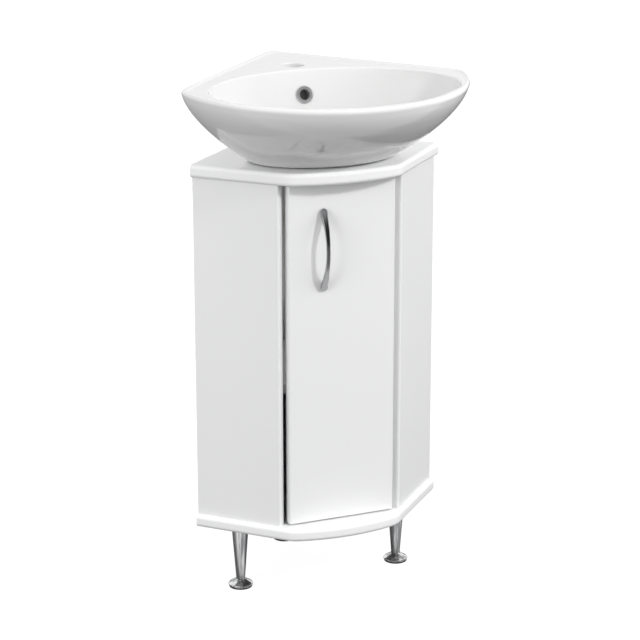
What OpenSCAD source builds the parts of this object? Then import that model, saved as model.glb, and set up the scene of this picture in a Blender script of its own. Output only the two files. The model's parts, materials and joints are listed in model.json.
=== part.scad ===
// Corner vanity unit: a five-sided cabinet on three levelling legs, under a ceramic corner basin.
// The floor is z = 0. The room corner lies on +Y, the front faces -Y, and the unit is centred on its own box.

/* [Cabinet] */
// Length of each back side along its wall, from the room corner to the side panel's outer face
wall_side = 313; // [300:1:330]
// Width of a side panel, from the wall to its front edge
side_w = 156; // [146:1:164]
// Height of the cabinet between its two boards
body_h = 600; // [560:5:680]
// Thickness of the side panels, the back panels and the shelf
panel_t = 16; // [14:0.5:17]
// Radius of the front edges of the side panels
panel_edge_r = 3; // [1:0.5:5]
// Thickness of the top and bottom boards
board_t = 22; // [18:1:28]
// Radius of the soft edge round the boards
board_edge_r = 7; // [3:0.5:8]
// How far the boards stand out past the side panels
side_over = 8; // [3:1:12]
// How far the boards stand out in front of the side panels' front corners
front_over = 39; // [30:1:55]
// Radius of the boards' bowed front
front_r = 315; // [240:5:400]
// Radius of the boards' front corners
board_corner_r = 42; // [30:1:50]
// Length cut off the back corner of the boards and back panels, along each wall
back_cut = 24; // [22:1:34]
// Width of the square post in the back corner
post_w = 30; // [26:1:36]
// Width of the pipe opening in each back panel
pipe_hole_w = 120; // [90:1:140]
// Height of the pipe opening in each back panel
pipe_hole_h = 210; // [160:1:240]
// Radius of the pipe opening's corners
pipe_hole_r = 20; // [8:1:40]
// Distance from the top board down to the pipe opening
pipe_hole_drop = 52; // [45:1:60]
// Height of the shelf above the bottom board
shelf_up = 230; // [180:5:280]

/* [Door] */
// Thickness of the door
door_t = 16; // [16:0.5:18]
// How far the door's face stands in front of the side panels' front corners
door_proud = 3; // [2:0.5:4]
// Gap between the door and the left side panel
door_gap_left = 5; // [3:0.5:8]
// Gap between the door and the right side panel
door_gap_right = 2; // [2:0.25:3]
// Gap above and below the door
door_gap_end = 3; // [2:0.5:5]
// Radius of the door's upright front edges
door_edge_r = 3; // [2.5:0.5:5]

/* [Handle] */
// Length of the bow handle
handle_l = 142; // [140:1:160]
// Distance between the handle's two screws
handle_pitch = 128; // [118:1:128]
// How far the handle stands out from the door
handle_out = 26; // [22:1:34]
// Thickness of the bow at its middle
handle_t = 5; // [4:0.5:7]
// Width of the bow at its ends
handle_end_w = 13; // [12:0.5:16]
// Width of the bow at its middle
handle_mid_w = 6.5; // [5:0.5:9]
// Distance of the handle to the left of the cabinet's middle
handle_left = 33; // [10:1:60]
// Distance from the door's top edge down to the handle's middle
handle_drop = 113; // [100:1:200]

/* [Hinges] */
// Distance from the door's end to the middle of a hinge
hinge_inset = 90; // [75:1:120]
// Radius of a hinge cup
cup_r = 17.5; // [17:0.25:18]
// Depth of a hinge cup in the door
cup_depth = 11.5; // [11:0.25:12]
// Wood left between the hinge cup and the door's edge
cup_edge = 4; // [3.5:0.25:4.5]
// Radius of a hinge pin
pin_r = 1.5; // [1.25:0.05:1.6]
// Radius of the swan neck round the hinge pin, at the middle of the strip
neck_r = 14; // [13.75:0.25:15]
// Width of a hinge arm
arm_w = 9.6; // [8:0.2:10]
// Thickness of the hinge arm's strip
arm_t = 2; // [1.5:0.25:2]

/* [Legs] */
// Height of the unit's underside above the floor
leg_h = 120; // [100:1:150]
// Distance of a front leg from the wall
leg_from_wall = 60; // [50:1:80]
// Distance of a front leg from the side panel's outer face
leg_from_side = 42; // [36:1:60]
// Distance of the back leg from the room corner
leg_from_corner = 62; // [56:1:90]
// Radius of a leg at its top
leg_top_r = 15; // [13:0.5:18]
// Radius of a leg at its lower end
leg_low_r = 7.7; // [7:0.1:10]
// Radius of a foot
foot_r = 21.4; // [18:0.2:24]
// Height of a foot with its pad
foot_h = 14; // [12:0.5:20]
// Thickness of the pad under a foot
pad_t = 2; // [1.5:0.5:4]
// Radius of a leg's mounting plate
plate_r = 28; // [25:1:32]

/* [Basin] */
// Radius of the basin's round front
basin_r = 256; // [240:1:262]
// Distance from the middle of the round front to the corner between the basin's wall sides
basin_reach = 223; // [215:1:230]
// Gap between the basin and each wall
wall_gap = 2; // [1:0.5:6]
// Height of the front rim above the top board
rim_h = 125; // [115:1:140]
// How much higher the rim is at the room corner than at the front
rim_rise = 16; // [0:1:24]
// Width of the bowl's opening
bowl_w = 430; // [400:2:434]
// Depth of the bowl's opening, front to back
bowl_d = 300; // [280:2:304]
// Width of the rim at the front
rim_w = 22; // [18:1:30]
// Thickness of the tap ledge
ledge_t = 14; // [10:1:18]
// Height of the raised lip round the ledge
lip_h = 4; // [2:0.5:6]
// Depth of the apron along the walls
apron_h = 45; // [30:1:60]
// Radius of the tap hole
tap_r = 17.5; // [16:0.5:19]
// Distance from the bowl's edge back to the middle of the tap hole
tap_back = 40; // [30:1:50]
// Radius of the hole in the top board under the tap hole
hose_hole_r = 24; // [18:1:26]
// Radius of the waste hole
drain_r = 23; // [22:0.5:24]
// Depth of the overflow hole's middle below the ledge
overflow_drop = 41; // [36:1:50]
// Radius of the overflow hole
overflow_r = 11; // [9:0.5:12]

/* [Waste and trap] */
// Outer radius of the waste pipes
pipe_r = 16; // [14:0.5:20]
// Wall of the waste pipes
pipe_wall = 1.8; // [1.5:0.1:3]
// Radius of the trap's body
trap_r = 29; // [26:0.5:34]
// Height of the trap's body
trap_h = 84; // [70:1:90]
// How far the outlet pipe reaches into the wall
outlet_into_wall = 30; // [20:1:60]

/* [Hidden] */
$fn = 64;
diag = sqrt(2);
tiny = 0.01;           // overlap that joins shapes drawn side by side
fit = 0.05;            // radial clearance of a pin or screw in its hole
bore_fit = 0.1;        // radial clearance round a waste pipe or the trap
past = 1;              // how far a hole is cut past the face that it opens in

// Plan of the basin's rim and place of the room corner
rim_p = 36;                                         // sharpness of the rim's corners
ray_off = 40;                                       // the rim is drawn from this far in front of its circle's middle
rim_back = (basin_reach + ray_off) * pow(2, -1 / rim_p) - ray_off;
rim_oy = (basin_r - rim_back) / 2;                  // middle of the round front
ray_y = rim_oy - ray_off;
rim_front = rim_oy - basin_r;
basin_corner = rim_oy + basin_reach;
corner_y = basin_corner + wall_gap * diag;          // room corner

// Plan of the cabinet
wall_x = wall_side / diag;                          // outer corner of a side panel at its wall
wall_y = corner_y - wall_x;
front_x = wall_x - side_w / diag;                   // front outer corner of a side panel
front_y = wall_y - side_w / diag;
inner_x = front_x - panel_t / diag;                 // front inner corner of a side panel
board_front = front_y - front_over;

// Levels
floor_z = leg_h + board_t;                          // upper face of the bottom board
ceil_z = floor_z + body_h;                          // lower face of the top board
top_z = ceil_z + board_t;                           // upper face of the top board
rim_z = top_z + rim_h;

// Door and hinges
door_x0 = -inner_x + door_gap_left;
door_x1 = inner_x - door_gap_right;
door_front = front_y - door_proud;
door_back = door_front + door_t;
door_z0 = floor_z + door_gap_end;
door_z1 = ceil_z - door_gap_end;
hinge_z = [door_z1 - hinge_inset, door_z0 + hinge_inset];
knuckle_r = pin_r + 1.3;
cup_wall = 0.8;
cup_x = door_x1 - cup_edge - cup_r;
slot_w = arm_w + 1;                                 // slot in the cup for the arm's knuckle
slot_x = sqrt(pow(cup_r - cup_wall * 0.8, 2) - pow(slot_w / 2, 2));
pin_x = cup_x + slot_x - knuckle_r - 0.4;
pin_y = door_back - cup_depth + cup_wall + knuckle_r + 0.4;
leg_angle = -52;                                    // direction of the arm's first leg
// Distance from the hinge pin to the right side panel's inner face
pin_off = ((front_x - front_y) - panel_t * diag - (pin_x - pin_y)) / diag;
arm_l = 52;                                         // straight part of the arm
arm_x0 = 10;                                        // the arm's side walls start this far behind the pin
arm_wall = 1.2;
arm_side_h = 5;
plate_x = 36;                                       // middle of a mounting plate behind the pin
plate_t = 2;
plate_pitch = 32;
plate_bar = 12;                                     // width of a mounting plate's cross bar
plate_w = 14;
plate_clear = 16;                                   // the plate's front end, behind the pin
block_l = 30;                                       // length of the block that carries the arm
arm_screw_back = 6;                                 // the arm's screw lies this far behind the plate's middle
cup_pitch = 48;
cup_wing = 11;
flange_t = 1.2;
flange_over = 2;
pin_short = 0.3;                                    // the pin's ends stay this far inside the cup's wall
cup_screw_x = cup_x - 9.5;                          // the cup's screws and wings

// Screws
wood_screw_r = 1.75;
wood_head_r = 3.5;
wood_head_h = 1.6;
leg_screw_l = 13;                                   // lengths of the screws in the wood
bracket_screw_l = 12;
plate_screw_l = 12;
cup_screw_l = 10;
hole_over = 1;                                      // how much deeper than its screw a hole is
handle_screw_r = 2;
handle_head_r = 4;
handle_head_h = 2.4;
arm_head_r = 3.6;
arm_head_h = 2;
arm_screw_l = 8;
confirmat_r = 3.2;
confirmat_head_r = 4.8;
confirmat_head_h = 3;
confirmat_l = 50;
side_screw_x = [36, side_w - 30];                   // along a side panel, from the wall
back_screw_x = [60, wall_side - 70];                // along the wall, from the side panel's outer face
dowel_r = 4;
dowel_l = 28;
dowel_in = 10;                                      // depth of a dowel in the side panel
dowel_end = 80;                                     // distance of the outer dowels from the panels' ends

// Legs: places of the front legs and the back leg
leg_fx = wall_x - (leg_from_wall + leg_from_side) / diag;
leg_fy = wall_y - (leg_from_wall - leg_from_side) / diag;
leg_by = corner_y - leg_from_corner;
plate_h = 2.5;
leg_screw_ring = 20.5;
leg_edge = 0.6;                                     // bevel round a leg's lower end
leg_collar = 3;                                     // straight part at a leg's top
stud_r = 4;
stud_l = 34;
rim_round = 2.4;                                    // radius of a foot's rim
neck_over = 0.8;                                    // how much wider than the leg a foot is at its top

// Basin sections
bowl_cy = rim_front + rim_w + bowl_d / 2;           // middle of the bowl's opening
floor_c = [0, -2];                                  // middle of the bowl's floor, and of the waste hole
floor_rx = 95;
floor_ry = 42;
floor_edge_z = top_z - 8;
floor_low_z = top_z - 12;
boss_r = 34;
boss_z = top_z - 38;
boss_fillet = 4;
foot_c = [0, -3];                                   // middle of the basin's foot on the top board
foot_rx = 128;
foot_ry = 90;
under_z = top_z - 24;
cut_r = 78;                                         // cut-out of the top board, with round ends
cut_half = 34;
foot_in = [8, 5];                                   // the foot's inner edge, inside the cut-out's edge
under_in = [14, 12];                                // and the hollow above it
wall_ceramic = 14;
apron_t = 9;                                        // thickness of the apron's lower edge
apron_root = 12;                                    // and of its root under the ledge
bowl_lip = [3, 1.2];                                // the bowl's edge: width of its rounding, and its rise
lip_rings = [[13, lip_h - 1], [8, 0.8], [4, 0], [0.8, 1]];  // raised lip: in from the rim, below its top
bowl_n = 1.75;                                      // swell of the bowl's wall
bowl_n_dip = 0.45;                                  // how much it changes towards the front and the back
skirt_n = 2.2;                                      // swell of the round front
hole_reach = 40;                                    // length of the cutters through the ceramic
basin_n = 64;
tap_y = bowl_cy + bowl_d / 2 + tap_back;

// Trap levels
tail_l = 22;                                        // threaded tail of the strainer below the boss
tail_low = boss_z - tail_l;
tail_drop = 66;                                     // from the boss down to the trap's body
trap_top = boss_z - tail_drop;
trap_low = trap_top - trap_h;
trap_wall = 3;
outlet_drop = 24;                                   // from the body's top down to the outlet's middle
outlet_z = trap_top - outlet_drop;
wall_dist = (corner_y - floor_c.y) / diag;          // from the trap's axis to the wall, along the outlet
spout_l = 16;                                       // outlet spout of the trap's body
pipe_in = 15;                                       // depth of a pipe in the trap
nut_h = 18;
outlet_nut_h = 14;
nut_over = 6;                                       // how much wider than its pipe a slip nut is
nut_rib_r = 1.6;
trap_cup_r = trap_r + 2.5;
trap_cup_h = 48;
trap_cup_foot = 10;                                 // height of the cup's cone
trap_cup_in = 22;                                   // how far the cup reaches up over the body

pipe_wall_x = wall_side - wall_dist;                // where the outlet pipe meets the right wall

// ---------------------------------------------------------------- frames

// Right side panel: +X runs from the wall to the front along the panel, +Y points out of the cabinet
module at_right_panel() { translate([wall_x, wall_y, 0]) rotate(225) children(); }
// Right wall: +X runs along the wall towards the room corner, +Y points into the cabinet
module at_right_wall() { translate([wall_x, wall_y, 0]) rotate(135) children(); }
module mirrored(left) { if (left) mirror([1, 0, 0]) children(); else children(); }
module both_sides() { for (left = [false, true]) mirrored(left) children(); }
// Hinge pin: axes as at_right_panel, origin on the pin at mid height of the hinge
module at_pin(i) { translate([pin_x, pin_y, hinge_z[i]]) rotate(225) children(); }
// Door back: +Z points into the cabinet
module at_door_back(x, z) { translate([x, door_back, z]) rotate([-90, 0, 0]) children(); }

// ---------------------------------------------------------------- boards

// Middle of the right front corner's rounding
round_k = (front_x - front_y) + side_over * diag - board_corner_r * diag;
arc_y = board_front + front_r;
round_b = round_k - arc_y;
round_y = (-round_b - sqrt(pow(round_b, 2) - 2 * (pow(round_k, 2) + pow(arc_y, 2)
    - pow(front_r - board_corner_r, 2)))) / 2;
round_x = round_y + round_k;
arc_a = atan2(round_y - arc_y, round_x);            // angle where the bow meets the corner's rounding

// Outline of a board, drawn in by e from its free edges, as points to the left round from the front
arc_n = 12;
corner_n = 6;
edge_n = 4;
function turn(c, r, a) = c + r * [cos(a), sin(a)];
function board_half(e) = concat(
    [for (i = [0 : arc_n]) turn([0, arc_y], front_r - e, mix(-90, arc_a, i / arc_n))],
    [for (i = [1 : corner_n]) turn([round_x, round_y], board_corner_r - e, mix(arc_a, -45, i / corner_n))],
    [[wall_x + (side_over - e) / diag, wall_y - (side_over - e) / diag]],
    [[back_cut / diag, corner_y - back_cut / diag]]
);
function flip(pts) = [for (i = [len(pts) - 1 : -1 : 0]) [-pts[i].x, pts[i].y]];
function tail(pts) = [for (i = [1 : len(pts) - 1]) pts[i]];
function board_outline(e) = concat(board_half(e), flip(tail(board_half(e))));

// Closed solid from rings of points, from a cap on top to a cap below
module ring_solid(rings) {
    n = len(rings[0]);
    last = len(rings) - 1;
    function at(i, k) = k * n + i % n;
    polyhedron(
        points = [for (ring = rings, p = ring) p],
        faces = concat(
            [for (k = [0 : last - 1], i = [0 : n - 1]) [at(i, k), at(i, k + 1), at(i + 1, k + 1)]],
            [for (k = [0 : last - 1], i = [0 : n - 1]) [at(i, k), at(i + 1, k + 1), at(i + 1, k)]],
            [[for (i = [0 : n - 1]) at(n - 1 - i, 0)]],
            [[for (i = [0 : n - 1]) at(i, last)]]
        )
    );
}

// Board with its free edges rounded
module board(z) {
    r = board_edge_r;
    upper = [for (k = [0 : edge_n]) let (t = 90 * k / edge_n) [r * (1 - sin(t)), board_t - r * (1 - cos(t))]];
    lower = [for (k = [edge_n : -1 : 0]) [upper[k].x, board_t - upper[k].y]];
    levels = concat(upper, lower);                  // each [drawn in by, height]
    translate([0, 0, z]) ring_solid([for (l = levels) [for (p = board_outline(l.x)) [p.x, p.y, l.y]]]);
}

module confirmat_places() {
    both_sides() {
        for (x = side_screw_x) at_right_panel() translate([x, -panel_t / 2, leg_h]) children();
        for (x = back_screw_x) at_right_wall() translate([x, panel_t / 2, leg_h]) children();
    }
}

module bottom_board() {
    color("white") difference() {
        board(leg_h);
        confirmat_places() {
            translate([0, 0, -tiny]) cylinder(r = confirmat_head_r + fit, h = confirmat_head_h + tiny);
            cylinder(r = confirmat_r + fit, h = board_t + past);
        }
        leg_places() for (a = [45 : 90 : 315]) rotate(a) translate([leg_screw_ring, 0, leg_h - tiny])
            cylinder(r = wood_screw_r + fit, h = leg_screw_l + hole_over + tiny);
    }
}

module top_board() {
    color("white") difference() {
        board(ceil_z);
        translate([foot_c.x, foot_c.y, ceil_z - past]) linear_extrude(board_t + 2 * past) {
            square([2 * cut_half, 2 * cut_r], center = true);
            for (s = [-1, 1]) translate([s * cut_half, 0]) circle(cut_r, $fn = 120);
        }
        translate([0, tap_y, ceil_z - past]) cylinder(r = hose_hole_r, h = board_t + 2 * past);
        bracket_places() bracket_up_screw() screw_hole(bracket_screw_l);
    }
}

// ---------------------------------------------------------------- panels

// Bar of length l and thickness t along -Y, with its two far corners rounded
module soft_bar(l, t, r) {
    translate([0, -t]) square([l - r, t]);
    translate([0, r - t]) square([l, t - 2 * r]);
    for (y = [r - t, -r]) translate([l - r, y]) circle(r);
}

module dowel_places() {
    for (z = [floor_z + dowel_end, floor_z + body_h / 2, ceil_z - dowel_end])
        at_right_wall() translate([panel_t - dowel_in, panel_t / 2, z]) rotate([0, 90, 0]) children();
}

// Hole in wood for a screw of length l, going in along +Z
module screw_hole(l) { translate([0, 0, -tiny]) cylinder(r = wood_screw_r + fit, h = l + hole_over); }

module side_panel(left) {
    color("white") mirrored(left) difference() {
        at_right_panel() translate([0, 0, floor_z])
            linear_extrude(body_h) soft_bar(side_w, panel_t, panel_edge_r);
        dowel_places() cylinder(r = dowel_r + fit, h = dowel_l);
        for (x = side_screw_x) at_right_panel() translate([x, -panel_t / 2, floor_z - tiny])
            cylinder(r = confirmat_r + fit, h = confirmat_l - board_t + hole_over);
        shelf_pin_places() rotate([-90, 0, 0]) cylinder(r = pin_shelf_r + fit, h = pin_shelf_in + hole_over);
        bracket_place_side() bracket_panel_screw() screw_hole(bracket_screw_l);
        if (!left) for (i = [0, 1]) plate_screw_places(i) screw_hole(plate_screw_l);
    }
}

// Rectangle with rounded corners
module soft_rectangle(w, h, r) {
    translate([r, 0]) square([w - 2 * r, h]);
    translate([0, r]) square([w, h - 2 * r]);
    for (x = [r, w - r], y = [r, h - r]) translate([x, y]) circle(r);
}

module back_panel(left) {
    hole_x = pipe_wall_x - pipe_hole_w / 2;
    hole_z = ceil_z - pipe_hole_drop - pipe_hole_h;
    color("ghostwhite") mirrored(left) difference() {
        at_right_wall() difference() {
            translate([panel_t, 0, floor_z]) cube([wall_side - back_cut - panel_t, panel_t, body_h]);
            translate([hole_x, panel_t + past, hole_z]) rotate([90, 0, 0])
                linear_extrude(panel_t + 2 * past) soft_rectangle(pipe_hole_w, pipe_hole_h, pipe_hole_r);
            for (x = back_screw_x) translate([x, panel_t / 2, floor_z - tiny])
                cylinder(r = confirmat_r + fit, h = confirmat_l - board_t + hole_over);
        }
        dowel_places() cylinder(r = dowel_r + fit, h = dowel_l + hole_over);
        bracket_place_back() bracket_panel_screw() screw_hole(bracket_screw_l);
    }
}

module corner_post() {
    color("ghostwhite") at_right_wall()
        translate([wall_side - panel_t - post_w, panel_t, floor_z]) cube([post_w, post_w, body_h]);
}

module panel_dowels() { color("burlywood") both_sides() dowel_places() cylinder(r = dowel_r, h = dowel_l); }

module panel_screws() {
    color("silver") confirmat_places() {
        cylinder(r = confirmat_head_r, h = confirmat_head_h);
        cylinder(r = confirmat_r, h = confirmat_l);
    }
}

// ---------------------------------------------------------------- angle brackets under the top board

bracket_l = 30;
bracket_w = 20;
bracket_t = 2;
bracket_hole = 19;
bracket_side_x = 70;                                // along a side panel, from the wall
bracket_back_x = 232;                               // along the wall, from the side panel's outer face
// Origin in the angle between a panel and the top board: +Y points away from the panel, +Z down
module bracket_place_side() {
    at_right_panel() translate([bracket_side_x, -panel_t, ceil_z]) rotate([180, 0, 0]) children();
}
module bracket_place_back() {
    at_right_wall() translate([bracket_back_x, panel_t, ceil_z]) mirror([0, 0, 1]) children();
}
module bracket_places() { both_sides() { bracket_place_side() children(); bracket_place_back() children(); } }
// Screws: +Z points the way the screw goes in
module bracket_up_screw() { translate([0, bracket_hole, 0]) mirror([0, 0, 1]) children(); }
module bracket_panel_screw() { translate([0, 0, bracket_hole]) rotate([90, 0, 0]) children(); }

module top_brackets() {
    color("silver") bracket_places() difference() {
        translate([-bracket_w / 2, 0, 0]) {
            cube([bracket_w, bracket_l, bracket_t]);
            cube([bracket_w, bracket_t, bracket_l]);
        }
        bracket_up_screw() plate_hole(bracket_t);
        bracket_panel_screw() plate_hole(bracket_t);
    }
}

// Hole for a wood screw through a plate of thickness t that lies on the wood, in the screw's own frame
module plate_hole(t) { translate([0, 0, -t - past]) cylinder(r = wood_screw_r + fit, h = t + 2 * past); }
// Screw that clamps a plate of thickness t; its origin is on the wood and it goes in along +Z
module wood_screw(t, l) {
    translate([0, 0, -t]) cylinder(r = wood_screw_r, h = t + l);
    translate([0, 0, -t - wood_head_h]) cylinder(r = wood_head_r, h = wood_head_h);
}

module bracket_screws() {
    color("silver") bracket_places() {
        bracket_up_screw() wood_screw(bracket_t, bracket_screw_l);
        bracket_panel_screw() wood_screw(bracket_t, bracket_screw_l);
    }
}

// ---------------------------------------------------------------- shelf

shelf_gap = 1;
shelf_z = floor_z + shelf_up;
pin_shelf_r = 2.5;
pin_shelf_in = 9;
pin_shelf_out = 8;
pin_shelf_end = 40;                                 // distance of a pin from the panel's edges
shelf_back = 14;                                    // the shelf's front edge, behind the door's back
// Origin on a side panel's inner face under the shelf, +Y into the panel
module shelf_pin_places() {
    for (x = [pin_shelf_end, side_w - pin_shelf_end])
        at_right_panel() translate([x, -panel_t, shelf_z - pin_shelf_r]) children();
}

module shelf() {
    side_k = (front_x - front_y) - (panel_t + shelf_gap) * diag;   // inner face of a side panel, x - y
    back_k = corner_y - (panel_t + shelf_gap) * diag;              // inner face of a back panel, x + y
    front = door_back + shelf_back;
    back = corner_y - (panel_t + post_w + shelf_gap) * diag;
    half = [[back_k - back, back], [(side_k + back_k) / 2, (back_k - side_k) / 2], [side_k + front, front]];
    color("white") translate([0, 0, shelf_z]) linear_extrude(panel_t) polygon(concat(half, flip(half)));
}

module shelf_pins() {
    color("silver") both_sides() shelf_pin_places() {
        rotate([-90, 0, 0]) cylinder(r = pin_shelf_r, h = pin_shelf_in);
        rotate([90, 0, 0]) cylinder(r = pin_shelf_r, h = pin_shelf_out);
    }
}

// ---------------------------------------------------------------- door and handle

handle_z = door_z1 - handle_drop;
handle_screw_in = 7;
bow_n = 480;                                        // fineness of the bow's long curves
bow_past = 5;                                       // the bow's circle meets the door this far past its ends
bow_foot = 13;                                      // length of a foot of the bow on the door
module handle_screw_places() {
    for (s = [-1, 1]) at_door_back(-handle_left, handle_z + s * handle_pitch / 2) children();
}

module door() {
    w = door_x1 - door_x0;
    color("white") difference() {
        translate([0, 0, door_z0]) linear_extrude(door_z1 - door_z0) {
            translate([door_x0 + door_edge_r, door_front]) square([w - 2 * door_edge_r, door_t]);
            translate([door_x0, door_front + door_edge_r]) square([w, door_t - door_edge_r]);
            for (x = [door_x0 + door_edge_r, door_x1 - door_edge_r])
                translate([x, door_front + door_edge_r]) circle(door_edge_r);
        }
        for (z = hinge_z) {
            at_door_back(cup_x, z) translate([0, 0, -cup_depth]) cylinder(r = cup_r, h = cup_depth + past);
            for (s = [-1, 1]) at_door_back(cup_screw_x, z + s * cup_pitch / 2) mirror([0, 0, 1])
                screw_hole(cup_screw_l);
        }
        handle_screw_places() translate([0, 0, -door_t - past])
            cylinder(r = handle_screw_r + fit, h = door_t + 2 * past);
    }
}

// The bow seen from its side: circles through its ends and through the ends of the open part
module bow_side() {
    half = handle_l / 2 + bow_past;
    open = handle_l / 2 - bow_foot;
    open_h = handle_out - handle_t;
    ro = (pow(half, 2) + pow(handle_out, 2)) / (2 * handle_out);
    ri = (pow(open, 2) + pow(open_h, 2)) / (2 * open_h);
    difference() {
        intersection() {
            translate([handle_out - ro, 0]) circle(ro, $fn = bow_n);
            translate([0, -half - 1]) square([handle_out + 1, 2 * half + 2]);
        }
        translate([open_h - ri, 0]) circle(ri, $fn = bow_n);
    }
}

// The bow seen from the front: waisted, with rounded ends
module bow_front() {
    half = handle_l / 2;
    dip = (handle_end_w - handle_mid_w) / 2;
    r = (pow(half, 2) + pow(dip, 2)) / (2 * dip);
    difference() {
        union() {
            square([handle_end_w, handle_l - handle_end_w], center = true);
            for (s = [-1, 1]) translate([0, s * (half - handle_end_w / 2)]) circle(handle_end_w / 2);
        }
        for (s = [-1, 1]) translate([s * (handle_mid_w / 2 + r), 0]) circle(r, $fn = 2 * bow_n);
    }
}

module handle() {
    color("silver") difference() {
        translate([-handle_left, door_front, handle_z]) intersection() {
            rotate([90, 0, -90]) translate([0, 0, -handle_end_w]) linear_extrude(2 * handle_end_w) bow_side();
            rotate([90, 0, 0]) translate([0, 0, -1]) linear_extrude(handle_out + 2) bow_front();
        }
        handle_screw_places() translate([0, 0, -door_t - handle_screw_in - hole_over])
            cylinder(r = handle_screw_r + fit, h = handle_screw_in + 2 * hole_over);
    }
}

module handle_screws() {
    color("silver") handle_screw_places() {
        translate([0, 0, -door_t - handle_screw_in])
            cylinder(r = handle_screw_r, h = door_t + handle_screw_in);
        cylinder(r = handle_head_r, h = handle_head_h);
    }
}

// ---------------------------------------------------------------- hinges

module hinge_cup(i) {
    color("silver") at_door_back(cup_x, hinge_z[i]) difference() {
        union() {
            translate([0, 0, -cup_depth]) cylinder(r = cup_r, h = cup_depth);
            linear_extrude(flange_t) {
                circle(cup_r + flange_over);
                translate([cup_screw_x - cup_x, 0]) {
                    square([cup_wing, cup_pitch], center = true);
                    for (s = [-1, 1]) translate([0, s * cup_pitch / 2]) circle(cup_wing / 2);
                }
            }
        }
        // dish, with a slot beside it for the knuckle
        translate([0, 0, cup_wall - cup_depth]) linear_extrude(cup_depth + flange_t) {
            intersection() {
                circle(cup_r - cup_wall);
                translate([-cup_r, -cup_r]) square([cup_r + pin_x - cup_x - knuckle_r - 1.2, 2 * cup_r]);
            }
            translate([0, -slot_w / 2]) square([slot_x, slot_w]);
        }
        translate([pin_x - cup_x, 0, pin_y - door_back]) rotate([90, 0, 0])
            cylinder(r = pin_r + fit / 2, h = 2 * cup_r, center = true);
        for (s = [-1, 1]) translate([cup_screw_x - cup_x, s * cup_pitch / 2, 0])
            mirror([0, 0, 1]) plate_hole(flange_t);
    }
}

module hinge_cup_screws() {
    color("silver") for (z = hinge_z, s = [-1, 1])
        at_door_back(cup_screw_x, z + s * cup_pitch / 2) mirror([0, 0, 1]) wood_screw(flange_t, cup_screw_l);
}

module hinge_pin(i) {
    half = sqrt(pow(cup_r, 2) - pow(pin_x - cup_x + pin_r, 2)) - pin_short;   // inside the cup's round wall
    color("gray") translate([pin_x, pin_y, hinge_z[i]]) cylinder(r = pin_r, h = 2 * half, center = true);
}

// Swan neck: knuckle, leg into the cup, a short arc round the pin, and a channel to the mounting plate
module hinge_arm(i) {
    color("silver") at_pin(i) difference() {
        union() {
            translate([0, 0, -arm_w / 2]) linear_extrude(arm_w) {
                circle(knuckle_r);
                rotate(leg_angle) translate([0, -arm_t / 2]) square([neck_r, arm_t]);
                intersection() {
                    difference() {
                        circle(neck_r + arm_t / 2, $fn = 120);
                        circle(neck_r - arm_t / 2, $fn = 120);
                    }
                    polygon([[0, 0], [0, -2 * neck_r], turn([0, 0], 2 * neck_r, leg_angle)]);
                }
                translate([-arm_l, -neck_r - arm_t / 2]) square([arm_l, arm_t]);
            }
            for (s = [-1, 1]) translate([-arm_l, -neck_r, s * (arm_w - arm_wall) / 2])
                translate([0, 0, -arm_wall / 2]) cube([arm_l - arm_x0, arm_side_h, arm_wall]);
        }
        cylinder(r = pin_r + fit, h = arm_w + 2 * past, center = true);
        arm_screw_place() cylinder(r = handle_screw_r + fit, h = 2 * (arm_t + past), center = true);
    }
}

module arm_screw_place() {
    translate([-plate_x - arm_screw_back, -neck_r - arm_t / 2, 0]) rotate([-90, 0, 0]) children();
}

module hinge_arm_screws() {
    color("silver") for (i = [0, 1]) at_pin(i) arm_screw_place() {
        cylinder(r = handle_screw_r, h = arm_t + arm_screw_l);
        translate([0, 0, -arm_head_h]) cylinder(r = arm_head_r, h = arm_head_h);
    }
}

module plate_screw_places(i) {
    for (s = [-1, 1]) at_pin(i)
        translate([-plate_x, pin_off, s * plate_pitch / 2]) rotate([-90, 0, 0]) children();
}

module hinge_plate(i) {
    block_w = arm_w - 2 * (arm_wall + bore_fit);
    block_h = pin_off + neck_r - arm_t / 2;
    color("silver") at_pin(i) difference() {
        union() {
            translate([-arm_l, pin_off - block_h, -block_w / 2]) cube([block_l, block_h, block_w]);
            translate([-arm_l, pin_off - plate_t, -plate_w / 2])
                cube([arm_l - plate_clear, plate_t, plate_w]);
            translate([-plate_x - plate_bar / 2, pin_off - plate_t, -(plate_pitch + plate_bar) / 2])
                cube([plate_bar, plate_t, plate_pitch + plate_bar]);
        }
        arm_screw_place() cylinder(r = handle_screw_r + fit, h = arm_t + arm_screw_l + hole_over);
        for (s = [-1, 1]) translate([-plate_x, pin_off, s * plate_pitch / 2]) rotate([-90, 0, 0])
            plate_hole(plate_t);
    }
}

module hinge_plate_screws() {
    color("silver") for (i = [0, 1]) plate_screw_places(i) wood_screw(plate_t, plate_screw_l);
}

// ---------------------------------------------------------------- legs

leg_xy = [[-leg_fx, leg_fy], [leg_fx, leg_fy], [0, leg_by]];
module leg_places() { for (p = leg_xy) translate([p.x, p.y, 0]) children(); }
module at_leg(i) { translate([leg_xy[i].x, leg_xy[i].y, 0]) children(); }

module leg_plate(i) {
    color("silver") at_leg(i) difference() {
        translate([0, 0, leg_h - plate_h]) cylinder(r = plate_r, h = plate_h);
        for (a = [45 : 90 : 315]) rotate(a) translate([leg_screw_ring, 0, leg_h]) plate_hole(plate_h);
    }
}

module leg_screws() {
    color("silver") leg_places() for (a = [45 : 90 : 315])
        rotate(a) translate([leg_screw_ring, 0, leg_h]) wood_screw(plate_h, leg_screw_l);
}

module leg(i) {
    top = leg_h - plate_h;
    color("silver") at_leg(i) difference() {
        rotate_extrude() polygon([[0, foot_h], [leg_low_r - leg_edge, foot_h], [leg_low_r, foot_h + leg_edge],
            [leg_top_r, top - leg_collar], [leg_top_r, top], [0, top]]);
        translate([0, 0, foot_h - past]) cylinder(r = stud_r + fit, h = stud_l + 3 * past);
    }
}

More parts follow.
